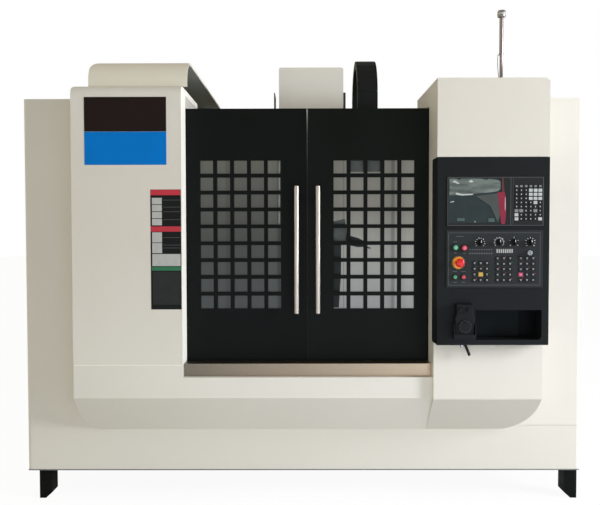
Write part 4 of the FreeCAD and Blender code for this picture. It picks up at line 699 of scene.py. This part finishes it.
scale_marks = Form()
for name, (x, z, count) in KNOBS.items():
    for n in range(count):
        angle = math.radians(SCALE_TURN * n / (count - 1) - SCALE_TURN / 2)
        outer = TICK_SHORT if n % 2 else TICK_LONG
        tick_mark(scale_marks, Vector((x, 0, z)), angle, TICK_INNER, outer, TICK_HALF,
                  UNIT_FACE - 0.35, UNIT_FACE + 0.1)
    pointer = raised(Form(), x - 1.2, x + 1.2, z + 1, z + 11.5, 24.3, 23.8)
    place(pointer, name + "_pointer", "tick", name + "_control", "key_plastic")
place(scale_marks, "knob_scale_marks", "tick", slot="key_plastic")

# rows of marks between the knobs and the keys, and a short line by each button
for n in range(8):
    raised(legends, 855 + 9.4 * n, 860.5 + 9.4 * n, 1234, 1251, 0.6, -0.1)
grey_marks = Form()
for n in range(10):
    raised(grey_marks, 735 + 10.6 * n, 741.5 + 10.6 * n, 1229, 1235, 0.4, -0.1)
    raised(grey_marks, 735 + 10.6 * n, 740.5 + 10.6 * n, 1246, 1251, 0.4, -0.1)
for x, z, half in ((673, 1283, 9), (673, 1234, 6), (712, 1232, 6), (672, 1152, 9), (709.5, 1152, 9),
                   (672, 1104, 8), (709.5, 1104, 8), (692, 1307, 16)):
    raised(grey_marks, x - half, x + half, z - 1.2, z + 1.2, 0.4, -0.1)
place(grey_marks, "panel_grey_marks", "mark_grey", slot="key_plastic")
place(legends, "panel_white_marks", "mark", slot="key_plastic")

# stop button with its ring
STOP_X, STOP_Z, STOP_TOP = 687.0, 1191.0, -50.0
ring = Form().turned((STOP_X, UNIT_FACE, STOP_Z), "d",
                     [(12.6, 0), (27.6, 0), (27.6, -2.6), (25.8, -4.4), (14.0, -4.4), (12.6, -3.0)], 48)
place(ring, "stop_ring", "orange", slot="key_plastic")
rim = Form().turned((STOP_X, UNIT_FACE, STOP_Z), "d",
                    [(27.2, 0), (29.2, 0), (29.2, -2.0), (28.0, -2.9)], 48)
place(rim, "stop_ring_rim", "rim", slot="key_plastic")
mushroom = Form().turned((STOP_X, STOP_TOP, STOP_Z), "d",
                         [(2.0, 0.0), (8.0, 0.4), (13.5, 1.8), (17.6, 4.6), (19.7, 8.6), (20.0, 12.5),
                          (18.8, 15.2), (15.0, 16.0), (11.2, 16.0), (11.2, 46.0)], 48)
made = place(mushroom, "stop_mushroom", "red", "stop_button", "red_plastic", smooth=50)
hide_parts("emergency_stop")

# collars round the push buttons
COLLARS = {"start": (673, 1258, 16.4, 6.4), "hold": (712, 1256, 16.4, 6.4),
           "power_on": (672, 1127.5, 12.9, 5.4), "power_off": (709.5, 1127.5, 12.9, 5.4)}
COLLAR_WALL = 4.6
for name, (x, z, radius, reach) in COLLARS.items():
    bore = radius - COLLAR_WALL
    collar = Form().turned((x, UNIT_FACE, z), "d", [
        (bore, 0), (radius, 0), (radius, 1.4 - reach), (radius - 1.4, -reach), (bore + 0.6, -reach),
        (bore, 0.6 - reach)], 36)
    place(collar, name + "_collar", "bezel", slot="bezel_plastic")

# paler middles of the two larger push buttons
for name, material in (("start", "mint"), ("hold", "rose")):
    low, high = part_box(name + "_button")
    middle = (low + high) / 2 * 1000
    face = low[1] * 1000 - FRONT
    disc = Form().turned((middle.x, face, middle.z + FLOOR), "d",
                         [(6.4, 0.2), (6.4, -0.3), (5.6, -0.6)], 24)
    place(disc, name + "_button_middle", material, name + "_control", "key_plastic")

# ---- film, tags and tape on the display
FILM_COLUMNS, FILM_ROWS = 30, 14
FILM_X, FILM_WIDTH, FILM_BOW = 646.0, 188.0, 44.0
FILM_TOP, FILM_LOW, FILM_SLOPE = 1564.0, 1487.0, 15.0
NOTCHES = ((0.22, 0.035), (0.84, 0.04))


def film_place(i, j):
    """Place on the crumpled film, which is rounded at its right end and notched along its top."""
    u, v = i / FILM_COLUMNS, j / FILM_ROWS
    bow = math.sqrt(max(0.0, 1 - (2 * v - 1) ** 2))
    notch = sum(9 * math.exp(-((u - middle) / width) ** 2) for middle, width in NOTCHES)
    top, low = FILM_TOP - notch - 4 * u, FILM_LOW + FILM_SLOPE * u
    lift = 0.6 + 1.0 * abs(math.sin(11 * u + 3 * v) * math.cos(8 * v - 4 * u)) + random.random() * 0.4
    return (FILM_X + u * (FILM_WIDTH + FILM_BOW * bow), UNIT_FACE + 1.4 - lift, top + v * (low - top))


random.seed(7)
film = Form()
step = FILM_COLUMNS + 1
film.add([film_place(i, j) for j in range(FILM_ROWS + 1) for i in range(step)],
         [(a, a + 1, a + step + 1, a + step)
          for j in range(FILM_ROWS) for a in range(j * step, j * step + FILM_COLUMNS)])
place(film, "screen_film", "film", slot="screen", smooth=30)


def slip(name, material, shapes, top, foot):
    """Flat pieces on the display, each given by its outline (x, z)."""
    pieces = Form()
    for corners in shapes:
        pieces.slab(corners, UNIT_FACE - foot, UNIT_FACE - top)
    return place(pieces, name, material, slot="bezel_plastic")


slip("film_fold", "fold", [[(763, 1485), (867, 1498), (871, 1405), (860, 1371), (826, 1441)]], 0.3, -0.4)
slip("film_glints", "key_light", [
    [(657, 1545), (668, 1555), (676, 1549), (690, 1541), (684, 1537), (668, 1545)],
    [(728, 1550), (742, 1556), (752, 1548), (740, 1544)],
    [(672, 1492), (700, 1487), (748, 1490), (752, 1495), (700, 1494), (676, 1500)],
    [(648, 1459), (664, 1463), (668, 1460), (652, 1456)],
    [(757, 1370), (761, 1370), (761, 1374), (757, 1374)]], 0.9, 0.2)
slip("screen_tags", "tag", [[(680, 1375), (713, 1375), (713, 1388), (680, 1388)],
                            [(818, 1371), (845, 1371), (845, 1387), (818, 1387)]], 0.3, -0.4)


def band(low, high, centre, half):
    """Outline of an upright band; centre and half width are functions of 0 to 1."""
    steps = [n / 12 for n in range(13)]
    left = [(centre(t) - half(t), low + (high - low) * t) for t in steps]
    right = [(centre(t) + half(t), low + (high - low) * t) for t in steps]
    return left + right[::-1]


tape = band(1361, 1502, lambda t: 883 - 9 * t * t, lambda t: 7.5 + 14 * t * (1.55 - t))
tape_top = band(1502, 1566, lambda t: 882 - 2 * t, lambda t: 6 - 3 * t)
tape_glint = band(1420, 1482, lambda t: 891.5, lambda t: 0.6 + 5 * t * (1 - t))
slip("bezel_stripe", "stripe", [tape], 0.7, -0.1)
slip("bezel_stripe_top", "stripe_dark", [tape_top], 0.5, -0.1)
slip("bezel_stripe_glint", "pink_pale", [tape_glint], 0.9, 0.6)
slip("bezel_divider", "mark_grey", [[(915.6, 1356), (917.2, 1356), (917.2, 1567), (915.6, 1567)],
                                    [(926, 1361), (927.2, 1361), (927.2, 1564), (926, 1564)]], 0.3, -0.1)

# ---- hand unit
DIAL_X, DIAL_Z, DIAL_FACE = 710.0, 912.0, -46.0
dial = Form().turned((DIAL_X, DIAL_FACE + 8, DIAL_Z), "d", [
    (27.5, 0), (29.0, -1.0), (29.0, -6.6), (27.6, -8.0), (3.0, -8.0)], 60)
dial.turned((DIAL_X, DIAL_FACE, DIAL_Z + 19), "d", [(5.0, 0.2), (5.0, -2.8), (4.0, -4.0), (0.5, -4.0)], 20)
made = place(dial, "pulse_dial_disc", "unit", "dial_control", "unit_plastic")
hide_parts("pulse_dial")
dial_marks = Form()
for n in range(50):
    inner = 24.5 if n % 5 else 22.5
    tick_mark(dial_marks, Vector((DIAL_X, 0, DIAL_Z)), 2 * math.pi * n / 50, inner, 27.0, 0.35,
              DIAL_FACE - 0.3, DIAL_FACE + 0.2)
place(dial_marks, "dial_ticks", "mark_grey", "dial_control", "key_plastic")

# ---- painted shade in the storage pocket, gland and short lever
POCKET_LOW, POCKET_HIGH = 849.0, 978.0
POCKET_END = [(1040, POCKET_LOW), (1050, 853), (1056, 864), (1056, POCKET_HIGH)]
# painted shade: dark sheets inside the pocket, darkest at its right end
for name, material, x0, face in (("pocket_shade_sheet", "pocket", 767, 98.7),
                                 ("pocket_deep_shade_sheet", "pocket_dark", 985, 97.8)):
    lining = Form().slab([(x0, POCKET_HIGH), (x0, POCKET_LOW)] + POCKET_END, face, face + 0.9)
    place(lining, name, material, slot="box_paint")

gland = Form().turned((714, 40, 824.5), "z", [
    (9.0, 0), (10.0, -2), (10.0, -9), (7.5, -11), (7.5, -17), (5, -18)], 24)
place(gland, "box_gland", "lock", slot="lock_metal")
lever = Form().tube([(726, 36, 826), (730, 35, 815), (735, 34, 803), (740, 33, 790), (747, 32, 772)],
                    6.2, 16)
place(lever, "box_lever_grip", "knob", slot="knob_plastic")

# ---- signal lamp
LAMP_X, LAMP_D, LAMP_Z, LAMP_TIP = 887.0, 60.0, 2004.0, 2313.0
mast = Form().turned((LAMP_X, LAMP_D, LAMP_Z), "z",
                     [(13.0, 0), (13.0, 6), (11.5, 8), (7.6, 12), (7.0, 104), (9.0, 114), (9.0, 266),
                      (8.0, 277), (16.5, 279), (18.0, 283), (18.0, 303), (15.5, 308), (1.0, 309)], 40)
made = place(mast, "lamp_mast", "lamp", slot="lamp_metal", smooth=45)
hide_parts("signal_lamp")
lens = Form().turned((LAMP_X, LAMP_D, LAMP_TIP - 21), "z",
                     [(17.0, 0), (18.6, 1), (18.6, 9), (17.0, 10)], 40)
place(lens, "lamp_lens", "key_light", slot="lamp_metal", smooth=45)
wire = [(LAMP_X - 7.5, LAMP_D - 4, LAMP_Z + 118)]
for n in range(13):
    t = n / 12
    sag = 3 * math.sin(math.pi * t)
    wire.append((LAMP_X - 17 + 8 * t - sag, LAMP_D - 6 + 3 * t, LAMP_Z + 108 * (1 - t)))
place(Form().tube(wire, 1.8, 10), "lamp_wire", "iron", slot="lamp_metal")

# ---- flange of the right guard plate
flange = Form().box(240.5, 254.0, 1080, 1083, 1700, 2146)
place(flange, "guard_flange", "guard", "head", "box_paint")

# ---- cable chain
CHAIN_X0, CHAIN_X1, CHAIN_THICK, LINK_PITCH = 300.0, 410.0, 45.0, 40.0
CHAIN_FRONT, CHAIN_RADIUS, CHAIN_CENTRE, HEAD_TOP, CHAIN_FOOT = 782.5, 200.0, 2076.0, 1690.0, 1490.0
SIDE_PLATE, INNER_PLATE, COVER_PLATE = 9.0, 4.0, 6.0


def chain_route():
    """Place, angle and length of each link, from the head over the loop down to the column."""
    rise, fall = CHAIN_CENTRE - HEAD_TOP, CHAIN_CENTRE - CHAIN_FOOT
    bow = math.pi * CHAIN_RADIUS
    count = int((rise + bow + fall) // LINK_PITCH)
    step = (rise + bow + fall) / count
    for n in range(count):
        s = (n + 0.5) * step
        if s < rise:
            yield CHAIN_FRONT, HEAD_TOP + s, 0.0, step
        elif s < rise + bow:
            a = (s - rise) / CHAIN_RADIUS
            yield (CHAIN_FRONT + CHAIN_RADIUS * (1 - math.cos(a)),
                   CHAIN_CENTRE + CHAIN_RADIUS * math.sin(a), a, step)
        else:
            yield CHAIN_FRONT + 2 * CHAIN_RADIUS, CHAIN_CENTRE - (s - rise - bow), math.pi, step


def link_plates(lift):
    """Plates of a link: ends in x, ends across the band and share of the half pitch that they reach."""
    half = CHAIN_THICK / 2
    left, right = CHAIN_X0 + SIDE_PLATE, CHAIN_X1 - SIDE_PLATE
    return [(CHAIN_X0, left, -half, half, 0.98), (right, CHAIN_X1, -half, half, 0.98),
            (left, left + INNER_PLATE, 5 - half, half - 5, 1.2),
            (right - INNER_PLATE, right, 5 - half, half - 5, 1.2),
            (left, right, lift - half, COVER_PLATE - half, 1.0),
            (left, right, half - COVER_PLATE, half - lift, 1.12)]


chain = Form()
for number, (d, z, angle, step) in enumerate(chain_route()):
    along = Vector((0, math.sin(angle), math.cos(angle)))
    across = Vector((0, -math.cos(angle), math.sin(angle)))
    for x0, x1, t0, t1, reach in link_plates(0.7 * (number % 2)):
        ends = (-step / 2 * reach, step / 2 * reach)
        chain.add([tuple(Vector((x, d, z)) + along * s + across * t)
                   for s in ends for t in (t0, t1) for x in (x0, x1)], BOX_FACES)
made = chain.object("cable_chain_links", "chain", bevel=1.2)
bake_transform(made)
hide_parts("cable_chain")

# ---- bellows over the Y rails
BELLOWS_HALF, BASE_TOP, AXIS_X = 274.0, 560.0, 36.0
PLEAT_LENGTH, PLEAT_DEPTH, CREST_TOP, CLOTH = 18.0, 9.0, 627.0, 3.0


def arch(half, top, corner):
    """Outline (x, z) of one skin, from foot to foot, with cut corners."""
    foot = BASE_TOP + 1
    return [(-half, foot), (-half, top - corner), (corner - half, top), (half - corner, top),
            (half, top - corner), (half, foot)]


def bellows(name, fixed_end, moving_end):
    """Pleated cover from a fixed place to one that moves with the saddle."""
    length = moving_end - fixed_end
    pleats = round(abs(length) / PLEAT_LENGTH)
    loops = []
    for n in range(2 * pleats + 1):
        sink = 0.0 if n % 2 else PLEAT_DEPTH
        half, top = BELLOWS_HALF - sink, CREST_TOP - sink
        section = arch(half, top, 12) + arch(half - CLOTH, top - CLOTH, 11)[::-1]
        d = fixed_end + length * n / (2 * pleats)
        loops.append([(AXIS_X + x, d, z) for x, z in section])
    made = Form().loft(loops).object(name, "rubber", smooth=20)
    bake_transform(made)
    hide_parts("y_bellows")


bellows("front_bellows", 300.0, 560.0)
bellows("rear_bellows", 1330.0, 960.0)

# ---- inside the electrical cabinet
PLATE_X0, PLATE_X1, PLATE_Z0, PLATE_Z1, PLATE_BACK = -470.0, 542.0, 462.0, 1838.0, 1862.0
DUCT_WIDTH, DUCT_REACH, LID, LID_EDGE = 50.0, 62.0, 4.0, 2.0
DUCT_X0, DUCT_X1, DUCT_Z0, DUCT_Z1 = PLATE_X0 + 8, PLATE_X1 - 8, 480.0, 1810.0
DUCT_ROWS = (DUCT_Z0, 760.0, 1020.0, 1280.0, 1760.0)
DRIVE_Z0, DRIVE_Z1, DRIVE_REACH = 1370.0, 1720.0, 170.0
DRIVES = ((-380, 150), (-216, 90), (-112, 90), (-8, 90), (110, 130))
RAIL_ROWS = (560, 830, 1090, 1190)
FIN_PITCH = 12.0


def mounted(form, x0, x1, z0, z1, reach, foot=0.0):
    """Add a box that stands on the mounting plate; foot and reach are its heights above the plate."""
    return form.box(x0, x1, PLATE_BACK + foot, PLATE_BACK + reach, z0, z1)


def device_row(form, x0, count, width, pitch, reach, z0, z1, inset=0.0):
    """Row of equal devices; an inset gives each a narrower front that stands out further."""
    for n in range(count):
        x = x0 + n * pitch
        mounted(form, x, x + width, z0, z1, reach)
        if inset:
            mounted(form, x + 1, x + width - 1, z0 + inset, z1 - inset, reach + 9, reach - 1)


plate = Form().box(PLATE_X0, PLATE_X1, PLATE_BACK - 3, PLATE_BACK, PLATE_Z0, PLATE_Z1)
for x in (PLATE_X0 + 30, PLATE_X1 - 30):
    for z in (PLATE_Z0 + 30, PLATE_Z1 - 30):
        plate.turned((x, 1853, z), "d", [(9, 0), (9, 7), (6, 8), (6, 14), (1, 14)], 16)
place(plate, "cabinet_plate", "zinc", slot="zinc_steel")

ducts, lids = Form(), Form()
runs = [(PLATE_X0 + 60, PLATE_X1 - 60, z, z + DUCT_WIDTH, 0) for z in DUCT_ROWS]
runs += [(x, x + DUCT_WIDTH, DUCT_Z0, DUCT_Z1, LID_EDGE) for x in (DUCT_X0, DUCT_X1 - DUCT_WIDTH)]
for x0, x1, z0, z1, overlap in runs:
    mounted(ducts, x0, x1, z0, z1, DUCT_REACH, -1)
    mounted(lids, x0 - overlap, x1 + overlap, z0 - LID_EDGE, z1 + LID_EDGE, DUCT_REACH + LID, DUCT_REACH)
place(ducts, "cabinet_ducts", "key_grey", slot="panel_grey", bevel=1.5)
place(lids, "cabinet_duct_lids", "mark", slot="panel_grey", bevel=1.5)

drives, covers, fins = Form(), Form(), Form()
for x, width in DRIVES:
    mounted(drives, x, x + width, DRIVE_Z0, DRIVE_Z1, DRIVE_REACH, -1)
    mounted(covers, x + 5, x + width - 5, DRIVE_Z0 + 100, DRIVE_Z1 - 8, DRIVE_REACH + 12, DRIVE_REACH)
    mounted(covers, x + 14, x + width - 14, DRIVE_Z0 + 14, DRIVE_Z0 + 70, DRIVE_REACH + 6, DRIVE_REACH)
    for n in range(int(width // FIN_PITCH) - 1):
        fin_x = x + 8 + FIN_PITCH * n
        mounted(fins, fin_x, fin_x + 5, DRIVE_Z1 - 1, DRIVE_Z1 + 8, DRIVE_REACH - 10, 8)
place(drives, "servo_drives", "tank", slot="panel_grey", bevel=3)
place(covers, "drive_covers", "unit", slot="unit_plastic", bevel=3)
place(fins, "drive_fins", "alloy", slot="zinc_steel")

rails = Form()
for z in RAIL_ROWS:
    mounted(rails, PLATE_X0 + 80, PLATE_X1 - 80, z, z + 35, 8, -1)
place(rails, "cabinet_rails", "zinc", slot="zinc_steel")

# rows of devices: first x, count, width, pitch, reach, z0, z1 and the inset of their fronts
DEVICES = (
    ("cabinet_breakers", "key_light", "key_plastic", 1.2, ((-380, 18, 17, 18, 62, 1168, 1250, 18),
                                                           (20, 5, 44, 52, 78, 1165, 1253, 22))),
    ("breaker_levers", "key", "bezel_plastic", 0.8, ((-375, 18, 7, 18, 78, 1204, 1214),)),
    ("relay_sockets", "knob", "knob_plastic", 1.0, ((-381, 14, 26, 29, 52, 828, 932),)),
    ("cabinet_relays", "field_slate", "bezel_plastic", 1.2, ((-380, 14, 24, 29, 74, 862, 898),
                                                             (50, 8, 40, 46, 84, 812, 900, 20))),
    ("terminal_row", "field_pale", "key_plastic", 0.5, ((-384, 54, 7.4, 8.2, 46, 556, 602, 12),)),
)
for name, material, slot, bevel, rows in DEVICES:
    devices = Form()
    for row in rows:
        device_row(devices, *row)
    place(devices, name, material, slot=slot, bevel=bevel)
core, coils = mounted(Form(), 170, 430, 550, 720, 120, -1), Form()
place(core, "transformer_core", "iron", slot="ground_steel", bevel=2)
device_row(coils, 178, 3, 76, 84, 138, 578, 692)
place(coils, "transformer_coils", "rim", slot="key_plastic", bevel=8)

# ---- stage
ROOM_WAY = (0.95, -0.05, 0.3)     # from the room's light side to its dim side
ROOM_LEFT = (0.99, 0.92, 0.75, 1)
ROOM_RIGHT = (0.10, 0.10, 0.10, 1)
WHITE = (1, 1, 1, 1)
FLOOR_PALE = (0.86, 0.86, 0.86, 1)
FLOOR_GLOW, FLOOR_WHITE_SHARE, FLOOR_REACH = 1.04, 0.9, 30.0


def camera_sees(tree, usual, seen, share, out):
    """Mix a share of another shader in for the camera alone."""
    path, part = tree.nodes.new("ShaderNodeLightPath"), tree.nodes.new("ShaderNodeMath")
    mix = tree.nodes.new("ShaderNodeMixShader")
    part.operation = "MULTIPLY"
    part.inputs[1].default_value = share
    tree.links.new(path.outputs["Is Camera Ray"], part.inputs[0])
    tree.links.new(part.outputs[0], mix.inputs["Fac"])
    tree.links.new(usual.outputs[0], mix.inputs[1])
    tree.links.new(seen.outputs[0], mix.inputs[2])
    tree.links.new(mix.outputs[0], out.inputs["Surface"])


def stage_material():
    """Pale floor that looks white to the camera and keeps some of its shadow."""
    mat = bpy.data.materials.new("studio_floor")
    mat.use_nodes = True
    nodes = mat.node_tree.nodes
    bsdf, glow = nodes["Principled BSDF"], nodes.new("ShaderNodeEmission")
    bsdf.inputs["Base Color"].default_value = FLOOR_PALE
    bsdf.inputs["Roughness"].default_value = 0.9
    glow.inputs["Color"].default_value = WHITE
    glow.inputs["Strength"].default_value = FLOOR_GLOW
    camera_sees(mat.node_tree, bsdf, glow, FLOOR_WHITE_SHARE, nodes["Material Output"])
    return mat


def stage_floor():
    mesh = bpy.data.meshes.new("studio_floor")
    corners = [(-1, -1), (1, -1), (1, 1), (-1, 1)]
    mesh.from_pydata([(x * FLOOR_REACH, y * FLOOR_REACH, 0) for x, y in corners], [], [(0, 1, 2, 3)])
    mesh.materials.append(stage_material())
    floor = bpy.data.objects.new("studio_floor", mesh)
    bpy.context.scene.collection.objects.link(floor)


def stage_world():
    """Room that is light on its left and dim on its right, seen as white by the camera."""
    world = bpy.data.worlds.new("studio")
    bpy.context.scene.world = world
    world.use_nodes = True
    nodes, links = world.node_tree.nodes, world.node_tree.links
    base, seen = nodes["Background"], nodes.new("ShaderNodeBackground")
    base.inputs["Strength"].default_value = 1.0
    seen.inputs["Color"].default_value = WHITE
    seen.inputs["Strength"].default_value = 1.0
    way, across = nodes.new("ShaderNodeTexCoord"), nodes.new("ShaderNodeVectorMath")
    across.operation = "DOT_PRODUCT"
    across.inputs[1].default_value = ROOM_WAY
    half, ramp = nodes.new("ShaderNodeMath"), nodes.new("ShaderNodeValToRGB")
    half.operation = "MULTIPLY_ADD"
    half.inputs[1].default_value, half.inputs[2].default_value = 0.5, 0.5
    ramp.color_ramp.elements[0].color = ROOM_LEFT
    ramp.color_ramp.elements[1].color = ROOM_RIGHT
    links.new(way.outputs["Generated"], across.inputs[0])
    links.new(across.outputs["Value"], half.inputs[0])
    links.new(half.outputs[0], ramp.inputs["Fac"])
    links.new(ramp.outputs["Color"], base.inputs["Color"])
    camera_sees(world.node_tree, base, seen, 1.0, nodes["World Output"])


def lamp(name, where, target, size, power, colour):
    """Soft rectangular light; places are in metres."""
    data = bpy.data.lights.new(name, "AREA")
    data.shape = "RECTANGLE"
    data.size, data.size_y = size
    data.energy = power
    data.color = colour
    made = bpy.data.objects.new(name, data)
    bpy.context.scene.collection.objects.link(made)
    made.location = where
    made.rotation_mode = "QUATERNION"
    made.rotation_quaternion = (Vector(target) - Vector(where)).to_track_quat("-Z", "Y")


stage_floor()
stage_world()
lamp("key_light", (6.6, -3.3, 2.7), (-0.2, -0.8, 1.1), (1.5, 2.5), 512, (0.88, 0.91, 1.0))
lamp("low_light", (0.6, -5.2, 0.5), (0.2, -0.9, 0.5), (4.5, 0.8), 31, (0.72, 0.84, 1.0))

# ---- camera
IMAGE_WIDTH, FOCAL_PIXELS = 600, 709.26
CAMERA_PLACE = (-0.002, -4.1892, 1.3165)
YAW, PITCH, ROLL = 0.207, -1.905, -0.101
camera_data = bpy.data.cameras.new("camera")
camera = bpy.data.objects.new("camera", camera_data)
bpy.context.scene.collection.objects.link(camera)
bpy.context.scene.camera = camera
camera_data.sensor_width = 36.0
camera_data.lens = FOCAL_PIXELS / IMAGE_WIDTH * camera_data.sensor_width
camera_data.clip_end = 200
camera.location = CAMERA_PLACE
turn = (Matrix.Rotation(math.radians(YAW), 3, "Z") @ Matrix.Rotation(math.radians(90 + PITCH), 3, "X")
        @ Matrix.Rotation(math.radians(ROLL), 3, "Z"))
camera.rotation_mode = "QUATERNION"
camera.rotation_quaternion = turn.to_quaternion()

bpy.context.scene.view_settings.view_transform = "Standard"
